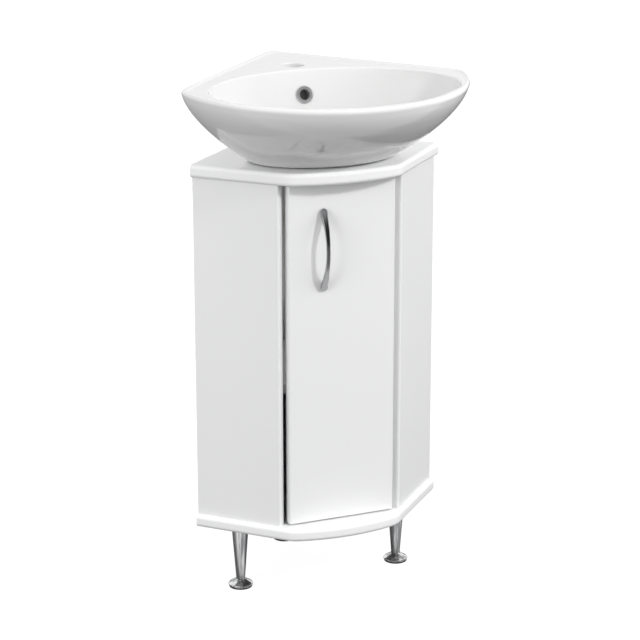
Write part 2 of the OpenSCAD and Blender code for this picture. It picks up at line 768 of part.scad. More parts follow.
// Cone-shaped foot with a rounded rim, and its threaded stud
module foot(i) {
    r = rim_round;
    rim = [foot_r - r, pad_t + r];
    neck = [leg_low_r + neck_over, foot_h];
    slope = atan2(neck.y - rim.y, neck.x - rim.x) - acos(r / norm(neck - rim));
    color("silver") at_leg(i) {
        rotate_extrude() {
            polygon([[0, pad_t], [rim.x, pad_t], turn(rim, r, slope), neck, [0, foot_h]]);
            translate(rim) circle(r);
        }
        translate([0, 0, foot_h - tiny]) cylinder(r = stud_r, h = stud_l);
    }
}

module foot_pad(i) { color("dimgray") at_leg(i) cylinder(r = foot_r - 1, h = pad_t); }

// ---------------------------------------------------------------- basin

function mix(a, b, t) = a + (b - a) * t;
function smooth(lo, hi, v) = let (t = min(1, max(0, (v - lo) / (hi - lo)))) t * t * (3 - 2 * t);
function oval(c, rx, ry, a) = [c.x + rx * cos(a), c.y + ry * sin(a)];

// Rim in plan: the round front cut off by the two walls, with corners softened by a power mean
corner_dist = (basin_corner - ray_y) / diag;
function front_reach(a) = let (b = ray_off * sin(a)) b + sqrt(b * b - ray_off * ray_off + basin_r * basin_r);
function rim_reach(a) = pow(pow(1 / front_reach(a), rim_p) + pow(max(0, cos(a - 45)) / corner_dist, rim_p)
    + pow(max(0, cos(a - 135)) / corner_dist, rim_p), -1 / rim_p);
function rim_pt(a) = [rim_reach(a) * cos(a), ray_y + rim_reach(a) * sin(a)];
function rim_top(p) = rim_z + rim_rise * (p.y - rim_front) / (rim_back + rim_oy - rim_front);

function bowl_pt(a) = oval([0, bowl_cy], bowl_w / 2, bowl_d / 2, a);
function floor_pt(a) = oval(floor_c, floor_rx, floor_ry, a);
function foot_pt(a) = oval(foot_c, foot_rx, foot_ry, a);
// Point of a rim ring, in mm inwards from the rim
function from_rim(a, d) = let (p = rim_pt(a), q = bowl_pt(a)) p + (q - p) / norm(q - p) * d;
function from_bowl(a, d) = let (p = rim_pt(a), q = bowl_pt(a)) q + (p - q) / norm(p - q) * d;
function lift(p, z) = [p.x, p.y, z];

// Inner wall of the bowl at depth d, from 0 at its edge to 1 at its floor
function bowl_wall(a, d) = let (p = mix(bowl_pt(a), floor_pt(a), pow(d, bowl_n - bowl_n_dip * sin(a))))
    lift(p, mix(rim_top(bowl_pt(a)) - lip_h, floor_edge_z, d));
// Round front of the basin at depth d, from 0 under the rim to 1 at the foot
function skirt(a, d) = let (p = mix(rim_pt(a), foot_pt(a), pow(d, skirt_n)))
    lift(p, mix(rim_top(rim_pt(a)) - lip_h, top_z, d));
// Wall side: apron, open underside of the ledge, and the back of the bowl
function apron(a, k) =
    let (r = rim_pt(a), t = rim_top(r), root = from_rim(a, apron_root), b = from_bowl(a, wall_ceramic))
    let (u = rim_top(b) - lip_h - ledge_t) [
        lift(r, t - 0.45 * apron_h), lift(r, t - apron_h), lift(from_rim(a, apron_t), t - apron_h),
        lift(root, rim_top(root) - lip_h - ledge_t), lift(b, u),
        lift(mix(b, foot_pt(a), 0.3), mix(u, top_z, 0.35)), lift(mix(b, foot_pt(a), 0.65), mix(u, top_z, 0.7)),
        lift(foot_pt(a), top_z)
    ][k];
skirt_depths = [0.1, 0.25, 0.4, 0.55, 0.7, 0.84, 0.94, 1];
bowl_depths = [1, 0.95, 0.87, 0.75, 0.6, 0.42, 0.24, 0.08];

function basin_column(a) = concat(
    [lift(oval(floor_c, boss_r, boss_r, a), floor_low_z)],
    [for (d = bowl_depths) bowl_wall(a, d)],
    [let (p = from_bowl(a, bowl_lip[0])) lift(p, rim_top(p) - lip_h + bowl_lip[1])],
    [for (q = lip_rings) let (p = from_rim(a, q[0])) lift(p, rim_top(p) - q[1])],
    [lift(rim_pt(a), rim_top(rim_pt(a)) - lip_h)],
    [for (k = [0 : 7]) mix(skirt(a, skirt_depths[k]), apron(a, k), smooth(0.05, 0.5, sin(a)))],
    [lift(oval(foot_c, cut_r + cut_half - foot_in.x, cut_r - foot_in.y, a), top_z)],
    [lift(oval(foot_c, cut_r + cut_half - under_in.x, cut_r - under_in.y, a), under_z)],
    [lift(oval(floor_c, boss_r + boss_fillet, boss_r + boss_fillet, a), under_z - boss_fillet)],
    [lift(oval(floor_c, boss_r, boss_r, a), boss_z)]
);

module basin_body() {
    columns = [for (i = [0 : basin_n - 1]) basin_column(i * 360 / basin_n)];
    ring_solid([for (k = [0 : len(columns[0]) - 1]) [for (c = columns) c[k]]]);
}

// Overflow: place and slope of the bowl's back wall at the hole's height
over_d = overflow_drop / (rim_top(bowl_pt(90)) - lip_h - floor_edge_z);
over_at = bowl_wall(90, over_d);
over_slope = atan2(bowl_wall(90, over_d - 0.05).y - bowl_wall(90, over_d + 0.05).y,
    bowl_wall(90, over_d - 0.05).z - bowl_wall(90, over_d + 0.05).z);
// Origin on the bowl's wall, +Z out of the hole into the bowl
module at_overflow() { translate([0, over_at.y, over_at.z]) rotate([90 - over_slope, 0, 0]) children(); }

module basin() {
    color("white") difference() {
        basin_body();
        at_waste(boss_z - past) cylinder(r = drain_r, h = floor_low_z - boss_z + hole_reach);
        translate([0, tap_y, rim_z]) cylinder(r = tap_r, h = 2 * hole_reach, center = true);
        at_overflow() translate([0, 0, -duct_skin - duct_out / 2]) cylinder(r = overflow_r, h = hole_reach);
        overflow_duct();
    }
}

// Duct inside the bowl's back wall, from the overflow hole down to the side of the waste hole
duct_skin = 6;
duct_w = 18;
duct_out = 7;
duct_low = 11;                                      // the duct's lower end, below the bowl's floor
duct_mouth = 5;
duct_n = 6;
module overflow_duct() {
    low = floor_low_z - duct_low;
    near = floor_c.y + drain_r - 3 * past;
    wall = [for (i = [0 : duct_n]) bowl_wall(90, mix(over_d - 0.08, 0.93, i / duct_n))];
    down = [for (p = wall) [p.y + duct_skin, p.z]];
    back = [for (i = [duct_n : -1 : 0]) [down[i].x + duct_out, i == duct_n ? low : down[i].y]];
    rotate([90, 0, 90]) translate([0, 0, -duct_w / 2]) linear_extrude(duct_w)
        polygon(concat(down, [[near, low + duct_mouth], [near, low]], back));
}

module overflow_ring() {
    lip = 4.5;
    bevel = 1.5;
    step = 1.2;
    sleeve_r = overflow_r - 2 * bore_fit;
    off_wall = 0.9;                                 // clears the curve of the bowl's wall
    color("silver") at_overflow() difference() {
        union() {
            translate([0, 0, off_wall]) cylinder(r = overflow_r + lip, h = step);
            translate([0, 0, off_wall + step])
                cylinder(r1 = overflow_r + lip, r2 = overflow_r + lip - bevel, h = step);
            translate([0, 0, -duct_skin]) cylinder(r = sleeve_r, h = duct_skin + off_wall + step / 2);
        }
        translate([0, 0, -duct_skin - past]) cylinder(r = sleeve_r - bevel, h = 2 * (duct_skin + past));
    }
}

// ---------------------------------------------------------------- waste and trap

module at_waste(z) { translate([floor_c.x, floor_c.y, z]) children(); }
strainer_r = boss_r - 3;
strainer_t = 2;
strainer_bevel = 1.5;
strainer_rings = [[0, 1, 2.6], [9, 6, 2.6], [16.5, 12, 2.4]];  // ring's radius, count and radius of holes
tail_r = drain_r - 1.5;
tail_wall = 2;
tail_floor = 3;
tail_slot = 8;                                      // slots that let the overflow's water in
tail_slot_drop = 14;
pipe_low = trap_top - pipe_in + past;               // lower end of the strainer's pipe

module waste_strainer() {
    color("silver") at_waste(0) difference() {
        union() {
            translate([0, 0, floor_low_z])
                cylinder(r1 = strainer_r, r2 = strainer_r - strainer_bevel, h = strainer_t);
            translate([0, 0, tail_low]) cylinder(r = tail_r, h = floor_low_z - tail_low + strainer_t / 2);
            translate([0, 0, pipe_low]) cylinder(r = pipe_r, h = tail_low - pipe_low + past);
        }
        translate([0, 0, tail_low + tail_floor])
            cylinder(r = tail_r - tail_wall, h = floor_low_z - past - tail_low - tail_floor);
        translate([0, 0, pipe_low - past])
            cylinder(r = pipe_r - pipe_wall, h = tail_low - pipe_low + 2 * tail_floor);
        for (a = [0 : 90 : 270]) rotate(a) translate([0, -tail_slot / 2, floor_low_z - tail_slot_drop])
            cube([tail_r + past, tail_slot, tail_slot]);
        for (ring = strainer_rings, i = [0.5 : ring[1]]) rotate(i * 360 / ring[1])
            translate([ring[0], 0, floor_low_z - 2 * past]) cylinder(r = ring[2], h = strainer_t + 4 * past);
    }
}

module ring(z, h, ro, ri) {
    at_waste(z) difference() {
        cylinder(r = ro, h = h);
        translate([0, 0, -past]) cylinder(r = ri, h = h + 2 * past);
    }
}

// Finger ribs round a nut or cup of radius r
module ribs(r, h) {
    for (a = [0 : 30 : 330]) rotate(a) translate([r - nut_rib_r / 3, 0, 0]) cylinder(r = nut_rib_r, h = h);
}

// Slip nut with finger ribs, on an axis along +Z
module ribbed_nut(h, ro, ri) {
    difference() {
        union() {
            cylinder(r = ro, h = h);
            ribs(ro, h);
        }
        translate([0, 0, -past]) cylinder(r = ri, h = h + 2 * past);
    }
}

washer_t = 3;
waste_nut_h = 10;
waste_nut_r = drain_r + 7;
module waste_washer() { color("dimgray") ring(boss_z - washer_t, washer_t, boss_r - 1, tail_r + bore_fit); }

module waste_nut() {
    color("gainsboro") at_waste(boss_z - washer_t - waste_nut_h)
        ribbed_nut(waste_nut_h, waste_nut_r, tail_r + bore_fit);
}

// Slip nut on a waste pipe
module pipe_nut(h) { color("gainsboro") ribbed_nut(h, pipe_r + nut_over, pipe_r + bore_fit); }
module trap_inlet_nut() { at_waste(trap_top) pipe_nut(nut_h); }
module trap_outlet_nut() { at_outlet(trap_r + spout_l) pipe_nut(outlet_nut_h); }

// Outlet's axis, d from the trap's axis; +Z runs to the right wall
module at_outlet(d) { at_waste(outlet_z) rotate(45) rotate([0, 90, 0]) translate([0, 0, d]) children(); }

outlet_in = 12;                                     // depth of the outlet pipe's socket in the spout
module trap_body() {
    color("gainsboro") difference() {
        union() {
            at_waste(trap_low) cylinder(r = trap_r, h = trap_h);
            at_outlet(0) cylinder(r = pipe_r + trap_wall, h = trap_r + spout_l);
        }
        at_waste(trap_low - past) cylinder(r = trap_r - trap_wall, h = trap_h - trap_wall);
        at_waste(trap_top - pipe_in) cylinder(r = pipe_r + bore_fit, h = 2 * pipe_in);
        at_outlet(0) cylinder(r = pipe_r - pipe_wall, h = trap_r + 2 * spout_l);
        at_outlet(trap_r + spout_l - outlet_in) cylinder(r = pipe_r + bore_fit, h = 2 * outlet_in);
    }
}

trap_cup_floor = 4;
trap_cup_taper = 8;
trap_cup_seat = 6;                                  // width of the ledge under the body's rim
rib_low = 3;                                        // the ribs' ends, from the cup's cone and from its rim
rib_high = 2;
module trap_cup() {
    z = trap_low + trap_cup_in - trap_cup_h;
    color("gainsboro") difference() {
        union() {
            at_waste(z + trap_cup_foot) cylinder(r = trap_cup_r, h = trap_cup_h - trap_cup_foot);
            at_waste(z) cylinder(r1 = trap_cup_r - trap_cup_taper, r2 = trap_cup_r, h = trap_cup_foot);
            at_waste(z + trap_cup_foot + rib_low)
                ribs(trap_cup_r, trap_cup_h - trap_cup_foot - rib_low - rib_high);
        }
        at_waste(trap_low - past / 2) cylinder(r = trap_r + bore_fit, h = trap_cup_h);
        at_waste(z + trap_cup_floor) cylinder(r = trap_r - trap_cup_seat, h = trap_cup_h);
    }
}

// Pipe from the trap into the wall, with a bead that stops it in the wall's socket
bead_in = 1;                                        // the bead's distance into the wall
bead_w = 2;
bead_h = 1.5;
module outlet_pipe() {
    from = trap_r + spout_l - outlet_in + past;
    l = wall_dist + outlet_into_wall - from;
    color("gainsboro") difference() {
        union() {
            at_outlet(from) cylinder(r = pipe_r, h = l);
            at_outlet(wall_dist + bead_in) cylinder(r = pipe_r + bead_h, h = bead_w);
        }
        at_outlet(from - past) cylinder(r = pipe_r - pipe_wall, h = l + 2 * past);
    }
}

rosette_t = 4;                                      // thickness of the rosette's disc, and of its cone
rosette_over = 14;
rosette_neck = 4;
module wall_rosette() {
    color("gainsboro") at_outlet(wall_dist - 2 * rosette_t) difference() {
        union() {
            translate([0, 0, rosette_t]) cylinder(r = pipe_r + rosette_over, h = rosette_t);
            cylinder(r1 = pipe_r + rosette_neck, r2 = pipe_r + rosette_over, h = rosette_t + tiny);
        }
        translate([0, 0, -past]) cylinder(r = pipe_r + bore_fit, h = 2 * (rosette_t + past));
    }
}

// ---------------------------------------------------------------- nodes

bottom_board();
top_board();
side_panel(true);  // left_side_panel
side_panel(false);  // right_side_panel
back_panel(true);  // left_back_panel
back_panel(false);  // right_back_panel
corner_post();
panel_dowels();
panel_screws();
top_brackets();
bracket_screws();
shelf();
shelf_pins();
door();
handle();
handle_screws();
hinge_cup(0);  // upper_hinge_cup
hinge_cup(1);  // lower_hinge_cup
hinge_cup_screws();
hinge_pin(0);  // upper_hinge_pin
hinge_pin(1);  // lower_hinge_pin
hinge_arm(0);  // upper_hinge_arm
hinge_arm(1);  // lower_hinge_arm
hinge_arm_screws();
hinge_plate(0);  // upper_hinge_plate
hinge_plate(1);  // lower_hinge_plate
hinge_plate_screws();
leg_plate(0);  // left_leg_plate
leg_plate(1);  // right_leg_plate
leg_plate(2);  // back_leg_plate
leg_screws();
leg(0);  // left_leg
leg(1);  // right_leg
leg(2);  // back_leg
foot(0);  // left_foot
foot(1);  // right_foot
foot(2);  // back_foot
foot_pad(0);  // left_foot_pad
foot_pad(1);  // right_foot_pad
foot_pad(2);  // back_foot_pad
basin();
overflow_ring();
waste_strainer();
waste_washer();
waste_nut();
trap_inlet_nut();
trap_body();
trap_cup();
trap_outlet_nut();
outlet_pipe();
wall_rosette();
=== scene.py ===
# %% [markdown]
# # A corner vanity unit
#
# A white five-sided cabinet stands in the corner of a bathroom on three brushed chrome legs and
# carries a ceramic basin. This lesson dresses the packed solids of the unit: it rebuilds the
# pieces whose curves or edges need more than the solids have, gives every piece a procedural
# finish, and sets the light and the camera of the photograph.

import json
import math

import bmesh
import bpy
import numpy as np
from mathutils import Matrix, Vector


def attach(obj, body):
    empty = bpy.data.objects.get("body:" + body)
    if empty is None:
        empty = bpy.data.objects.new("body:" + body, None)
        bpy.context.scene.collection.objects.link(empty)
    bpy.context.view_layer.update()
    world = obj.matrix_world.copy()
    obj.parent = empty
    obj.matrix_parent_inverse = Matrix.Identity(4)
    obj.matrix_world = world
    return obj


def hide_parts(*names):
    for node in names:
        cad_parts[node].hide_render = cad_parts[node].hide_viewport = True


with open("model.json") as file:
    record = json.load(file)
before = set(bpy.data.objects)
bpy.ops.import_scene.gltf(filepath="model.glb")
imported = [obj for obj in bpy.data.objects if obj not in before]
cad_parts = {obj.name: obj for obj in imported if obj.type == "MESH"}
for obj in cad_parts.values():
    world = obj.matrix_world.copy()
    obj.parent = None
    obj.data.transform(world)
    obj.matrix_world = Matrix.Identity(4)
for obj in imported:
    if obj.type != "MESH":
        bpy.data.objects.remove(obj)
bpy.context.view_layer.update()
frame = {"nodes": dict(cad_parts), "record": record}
nodes = frame["nodes"]
body_of_node = {n: body for body, names in frame["record"]["behaviour"]["bodies"].items() for n in names}
slot_of_node = {row["node"]: row["material_slot"] for row in frame["record"]["subparts"]}

# %% [markdown]
# ## Sums on sockets
#
# A finish is a small tree of nodes. Written as plain expressions, such as `0.3 + 0.1 * grain`, it
# reads like the sum it is. The class below wraps a socket and turns each operator into a Math
# node, and every other node comes from one method, which takes the node's type, its settings and
# the values of its sockets.

# %% The wrapper and the tree builder


class Wire:
    """A node's output that can be used in sums."""

    def __init__(self, paint, socket):
        self.paint, self.socket = paint, socket

    def _sum(self, operation, a, b):
        return self.paint.add("ShaderNodeMath", {"operation": operation}, {0: a, 1: b})

    def __add__(self, other):
        return self._sum("ADD", self, other)

    def __rsub__(self, other):
        return self._sum("SUBTRACT", other, self)

    def __mul__(self, other):
        return self._sum("MULTIPLY", self, other)

    __radd__ = __add__
    __rmul__ = __mul__


class Paint:
    """A material under construction: its tree, its shader, and the patterns that several finishes share."""

    def __init__(self, name, **constants):
        self.material = bpy.data.materials.new(name)
        self.material.use_nodes = True
        self.tree = self.material.node_tree
        self.shader = self.tree.nodes["Principled BSDF"]
        for socket, value in constants.items():
            self.shader.inputs[socket.replace("_", " ")].default_value = value
        self.place = self.add("ShaderNodeTexCoord", out="Object")

    def add(self, kind, settings=None, sockets=None, out=0):
        node = self.tree.nodes.new(kind)
        for key, value in (settings or {}).items():
            setattr(node, key, value)
        for key, value in (sockets or {}).items():
            if isinstance(value, Wire):
                self.tree.links.new(value.socket, node.inputs[key])
            else:
                node.inputs[key].default_value = value
        return Wire(self, node.outputs[out])

    def set(self, socket, wire):
        self.tree.links.new(wire.socket, self.shader.inputs[socket])

    def noise(self, scale, detail=2.0, stretch=(1, 1, 1), roughness=0.5):
        where = self.add("ShaderNodeMapping", {}, {"Vector": self.place, "Scale": stretch})
        return self.add("ShaderNodeTexNoise", {}, {"Vector": where, "Scale": scale, "Detail": detail,
                                                   "Roughness": roughness})

    def between(self, mask, low, high):
        """mask, from 0 to 1, moved to run from low to high."""
        return low + (high - low) * mask

    def step(self, value, start, end):
        """0 where value is at start and 1 where it is at end, with a soft passage between."""
        settings = {"interpolation_type": "SMOOTHSTEP"}
        return self.add("ShaderNodeMapRange", settings, {0: value, 1: start, 2: end})

    def blend(self, mask, one, other):
        """one where mask is 0, other where it is 1. Each is a colour, or what another blend gives."""
        one, other = (c if isinstance(c, Wire) else (*c, 1) for c in (one, other))
        return self.add("ShaderNodeMix", {"data_type": "RGBA"}, {0: mask, 6: one, 7: other}, out=2)

    def relief(self, height, depth, under=None):
        """A Bump node whose height is in metres."""
        sockets = {"Height": height, "Distance": depth, "Strength": 1.0}
        if under:
            sockets["Normal"] = under
        return self.add("ShaderNodeBump", {}, sockets)

    def rays(self):
        """For each ray: whether it comes from the camera, off a mirror, or through glass."""
        kinds = ("Is Camera Ray", "Is Glossy Ray", "Is Transmission Ray")
        return [self.add("ShaderNodeLightPath", out=kind) for kind in kinds]


print("a finish can use:", [name for name in vars(Paint) if name[0] != "_"])

# %% [markdown]
# ## The finishes
#
# The cabinet is sprayed with a white satin lacquer. Sprayed lacquer is never quite flat: it has
# the fine ripple called orange peel and a slightly uneven gloss. The two bowed boards are a
# little whiter than the panels. The back panels carry a plain foil with a fine grain. A picture
# could give these patterns, but noise that is worked out at each point needs no unwrapping and
# has no seams. All patterns are measured in metres on the object's own coordinates, so they keep
# their scale and stay on the piece.

# %% White lacquer and plain foil


def lacquer(name, tone, gloss):
    paint = Paint(name, Coat_Weight=0.25, Coat_Roughness=0.12)
    cloud = paint.noise(3.0, 3)
    peel = paint.noise(420.0, 1)
    paint.set("Base Color", paint.blend(cloud, [t * 0.985 for t in tone], tone))
    paint.set("Roughness", paint.between(paint.noise(14.0, 4), gloss - 0.05, gloss + 0.05))
    paint.set("Normal", paint.relief(peel, 0.00003, paint.relief(paint.noise(38.0, 1), 0.00004)))
    return paint.material


def foil(name, tone):
    paint = Paint(name)
    grain = paint.noise(900.0, 2)
    paint.set("Base Color", paint.blend(paint.noise(6.0, 4), [t * 0.96 for t in tone], tone))
    paint.set("Roughness", paint.between(grain, 0.48, 0.62))
    paint.set("Normal", paint.relief(grain, 0.00004))
    return paint.material


white_board = lacquer("white_lacquer", (0.855, 0.857, 0.86), 0.34)
bow_board = lacquer("bow_board_lacquer", (0.925, 0.927, 0.93), 0.33)
plain_board = foil("white_foil", (0.76, 0.755, 0.74))
print("board finishes:", white_board.name, bow_board.name, plain_board.name)

# %% [markdown]
# ### Glaze
#
# Glaze is glass that has flowed over the clay, so its ripple is long and shallow, with a few fine
# specks. Inside the overflow the colour is painted shade: a near-black, rougher patch stands in for
# the dark of the deep channel behind the hole. That pocket could be a piece of its own, but a
# distance from its middle is simpler and leaves the basin one closed shell.

# %% Glaze
OVERFLOW_POCKET, POCKET_R = (0, 0.0945, 0.8497), 0.0165
# painted shade: near black for the inside of the overflow, where the deep channel gets little light
PAINTED_POCKET_SHADE = (0.13, 0.125, 0.12)


def glaze():
    paint = Paint("glaze", Coat_Weight=0.3, Coat_Roughness=0.04, IOR=1.5)
    flow = paint.noise(9.0, 2)
    speck = paint.noise(1500.0, 1)
    away = paint.add("ShaderNodeVectorMath", {"operation": "DISTANCE"},
                     {0: paint.place, 1: OVERFLOW_POCKET}, out=1)
    # painted shade mask: 1 inside the overflow pocket and 0 on the glaze; it also raises the roughness
    # there
    pocket_shade_mask = paint.step(away, POCKET_R, POCKET_R * 0.85)
    white = paint.blend(flow, (0.745, 0.748, 0.745), (0.765, 0.765, 0.762))
    paint.set("Base Color", paint.blend(pocket_shade_mask, white, PAINTED_POCKET_SHADE))
    paint.set("Roughness", paint.between(paint.noise(30.0, 3), 0.08, 0.15) + 0.5 * pocket_shade_mask)
    paint.set("Normal", paint.relief(speck, 0.000004, paint.relief(flow, 0.0006)))
    return paint.material


ceramic = glaze()
print("glaze:", len(ceramic.node_tree.nodes), "nodes")

# %% [markdown]
# ### Metals
#
# Plating copies what is under it. On the handle it lies on polished metal and carries fine marks,
# and on the overflow ring on satin metal, whose tone is set above the other chrome as painted light,
# so that the ring reads bright. The legs are brushed along their length, which their roughness and
# relief give; the long dark and bright streaks in their colour, from a noise that is stretched along
# the leg, are painted reflections of the room. The hinges are nickel-plated, and zinc plating looks
# blotched.

# %% Metals


def plated(name, tone, low, high, marks):
    """Bright plating: a metal whose gloss varies a little and that carries polishing marks along Z."""
    paint = Paint(name, Metallic=1.0)
    polish = paint.noise(260.0, 4, stretch=(1, 1, 0.12))
    haze = paint.noise(22.0, 3)
    paint.set("Base Color", paint.blend(haze, [t * 0.95 for t in tone], tone))
    paint.set("Roughness", paint.between(haze, low, high) + marks * polish)
    paint.set("Normal", paint.relief(polish, 0.000004))
    return paint.material


def zinc(name):
    """Zinc plating: blotched, with a faint yellow and blue tinge from its passivation."""
    paint = Paint(name, Metallic=1.0)
    blotch = paint.noise(180.0, 4)
    paint.set("Base Color", paint.blend(blotch, (0.52, 0.54, 0.58), (0.66, 0.63, 0.56)))
    paint.set("Roughness", paint.between(blotch, 0.28, 0.44))
    paint.set("Normal", paint.relief(paint.noise(1200.0, 2), 0.000012))
    return paint.material


def brushed(name, dark, bright):
    """Plating over steel that was brushed along Z, with dark and bright streaks painted into its colour as
    reflections of the room.
    """
    paint = Paint(name, Metallic=1.0)
    along = (1, 1, 0.02)
    # painted reflection: dark and bright bands in the base colour stand in for the room mirrored in the
    # legs
    painted_reflection_streak = paint.step(paint.noise(110.0, 3, stretch=along, roughness=0.62), 0.38, 0.62)
    line = paint.noise(1400.0, 2, stretch=along)
    paint.set("Base Color", paint.blend(painted_reflection_streak, dark, bright))
    paint.set("Roughness", paint.between(line, 0.10, 0.26))
    paint.set("Normal", paint.relief(line, 0.000006))
    return paint.material


chrome = plated("chrome_plating", (0.80, 0.81, 0.83), 0.06, 0.11, 0.03)
chrome_with_painted_streaks = brushed("chrome_with_painted_streaks", (0.31, 0.315, 0.325), (0.98, 0.98, 0.985))
# painted light: the tone is set above the other chrome's so that the ring inside the bowl reads brighter;
# the satin roughness is the ring's own
satin_chrome_painted_brighter = plated("satin_chrome_painted_brighter", (0.93, 0.935, 0.945), 0.42, 0.50, 0.05)
handle_chrome = plated("handle_chrome", (0.49, 0.49, 0.50), 0.10, 0.18, 0.08)
nickel_steel = plated("nickel_plating", (0.74, 0.73, 0.71), 0.24, 0.34, 0.10)
zinc_steel = zinc("zinc_plating")
metals = (chrome, chrome_with_painted_streaks, satin_chrome_painted_brighter, handle_chrome, nickel_steel, zinc_steel)
print("metals:", [metal.name for metal in metals])

# %% [markdown]
# ### Rubber, plastic and wood
#
# The pads under the feet are rubber, the trap is moulded plastic, and the dowels are beech.
# Moulded parts take the fine pebble of their mould. Beech has short fibres. Every
# solid gets the finish of its slot, so that a solid that isn't rebuilt below looks right too.

# %% Rubber, plastic and beech


def moulded(name, tone, low, high, texture, depth):
    paint = Paint(name)
    pebble = paint.noise(texture, 3)
    paint.set("Base Color", paint.blend(paint.noise(12.0, 3), [t * 0.94 for t in tone], tone))
    paint.set("Roughness", paint.between(pebble, low, high))
    paint.set("Normal", paint.relief(pebble, depth))
    return paint.material


def beech(name):
    paint = Paint(name)
    grain = paint.noise(60.0, 6, stretch=(1, 1, 12), roughness=0.6)
    paint.set("Base Color", paint.blend(grain, (0.48, 0.30, 0.16), (0.68, 0.48, 0.30)))
    paint.set("Roughness", paint.between(grain, 0.55, 0.7))
    paint.set("Normal", paint.relief(grain, 0.00008))
    return paint.material


rubber = moulded("black_rubber", (0.035, 0.035, 0.037), 0.62, 0.82, 800.0, 0.00003)
white_plastic = moulded("white_plastic", (0.78, 0.78, 0.77), 0.32, 0.46, 700.0, 0.000015)
dowel_wood = beech("beech")
finishes = {"white_board": white_board, "plain_board": plain_board, "ceramic": ceramic, "chrome": chrome,
            "nickel_steel": nickel_steel, "zinc_steel": zinc_steel, "rubber": rubber,
            "white_plastic": white_plastic, "dowel_wood": dowel_wood}
for name, node in nodes.items():
    node.data.materials.clear()
    node.data.materials.append(finishes[slot_of_node[name]])
print("finishes:", sorted(finishes))

# %% [markdown]
# ## From a solid to a finished piece
#
# A packed solid is a shell of loose triangles. Its copy is welded, its flat faces are made whole
# again, its sharp edges get the small radius that sanding and lacquer leave, and the shading is
# told which edges stay sharp. The copy then stands in for the solid, which physics keeps.

# %% Helpers that adopt, soften and shade
MM = 0.001
WELD = 0.002 * MM


def adopt(piece, name, *replaced, body=None, slot=None):
    """Finishes a mesh object: its material slot, its body and the solids that it stands for."""
    first = replaced[0] if replaced else None
    slot = slot or slot_of_node[first]
    piece.name = piece.data.name = name
    piece.data.materials.clear()
    piece.data.materials.append(finishes[slot])
    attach(piece, body or body_of_node[first])
    if replaced:
        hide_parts(*replaced)
    return piece


def put(mesh_or_bmesh, name):
    """A new object at the origin from a mesh, or from a bmesh, which is freed."""
    mesh = mesh_or_bmesh
    if isinstance(mesh, bmesh.types.BMesh):
        mesh = bpy.data.meshes.new(name)
        mesh_or_bmesh.to_mesh(mesh)
        mesh_or_bmesh.free()
    piece = bpy.data.objects.new(name, mesh)
    bpy.context.scene.collection.objects.link(piece)
    return piece


def settle(piece):
    """Applies a piece's modifiers."""
    bpy.context.view_layer.update()
    graph = bpy.context.evaluated_depsgraph_get()
    mesh = bpy.data.meshes.new_from_object(piece.evaluated_get(graph))
    piece.modifiers.clear()
    piece.data = mesh
    return piece


def shade(piece, angle=35):
    """Smooth shading, with edges over the angle kept sharp."""
    piece.data.shade_smooth()
    piece.data.set_sharp_from_angle(angle=math.radians(angle))
    return piece


def keep_flat(piece, angle=35):
    """Shades curves smoothly while large flat faces stay flat."""
    shade(piece, angle)
    weighted = piece.modifiers.new("flats", "WEIGHTED_NORMAL")
    weighted.keep_sharp, weighted.weight = True, 100
    return settle(piece)


def soften(node, radius=0.0, angle=35):
    """A welded copy of a solid, with its sharp edges rounded to a radius in mm."""
    work = bmesh.new()
    work.from_mesh(nodes[node].data)
    bmesh.ops.remove_doubles(work, verts=work.verts, dist=WELD)
    bmesh.ops.dissolve_limit(work, angle_limit=math.radians(0.4), verts=work.verts, edges=work.edges)
    piece = put(work, node + "_piece")
    if radius:
        bevel = piece.modifiers.new("edges", "BEVEL")
        bevel.width, bevel.segments = radius * MM, 2
        bevel.limit_method, bevel.angle_limit = "ANGLE", math.radians(50)
        settle(piece)
    keep_flat(piece, angle)
    return adopt(piece, node + "_piece", node)


# %% Cabinet panels, door and shelf
EDGE_RADIUS = {"left_side_panel": 0.6, "right_side_panel": 0.6, "left_back_panel": 0.5,
               "right_back_panel": 0.5, "corner_post": 0.8, "shelf": 0.8, "door": 0.7}
for name, radius in EDGE_RADIUS.items():
    made = soften(name, radius)
    print(made.name, len(made.data.polygons), "faces")

# %% [markdown]
# ## Bowed boards
#
# Each board is cut to a bowed outline and routed round its free edges. Its solid has few steps in
# that round edge. A bevel on the solid would copy its coarse outline, so the piece is lofted
# again from the same outline: one ring of points for each height of the profile, joined into a
# skin. The top board is then cut for the waste and for the tap's hoses.

# %% The outline of a board
ROOT2 = math.sqrt(2)
wall_side, side_w, side_over, front_over, front_r, corner_r, back_cut = 313, 156, 8, 39, 315, 42, 24
edge_r, board_t = 7, 22
rim_p, ray_off, basin_r, basin_reach = 36, 40, 256, 223
rim_back = (basin_reach + ray_off) * 2 ** (-1 / rim_p) - ray_off
rim_oy = (basin_r - rim_back) / 2
ray_y, rim_front, basin_corner = rim_oy - ray_off, rim_oy - basin_r, rim_oy + basin_reach
corner_y = basin_corner + 2 * ROOT2
wall_x = wall_side / ROOT2
wall_y = corner_y - wall_x
front_x, front_y = wall_x - side_w / ROOT2, wall_y - side_w / ROOT2
arc_y = front_y - front_over + front_r
round_k = (front_x - front_y) + (side_over - corner_r) * ROOT2
half_b = round_k - arc_y
round_y = (-half_b - math.sqrt(half_b**2 - 2 * (round_k**2 + arc_y**2 - (front_r - corner_r) ** 2))) / 2
round_x = round_y + round_k
arc_a = math.degrees(math.atan2(round_y - arc_y, round_x))
print("front arc to", round(arc_a, 1), "degrees, back corner at", round(corner_y, 1), "mm")


def turn(cx, cy, r, a):
    """The point at angle a on a circle."""
    return cx + r * math.cos(math.radians(a)), cy + r * math.sin(math.radians(a))


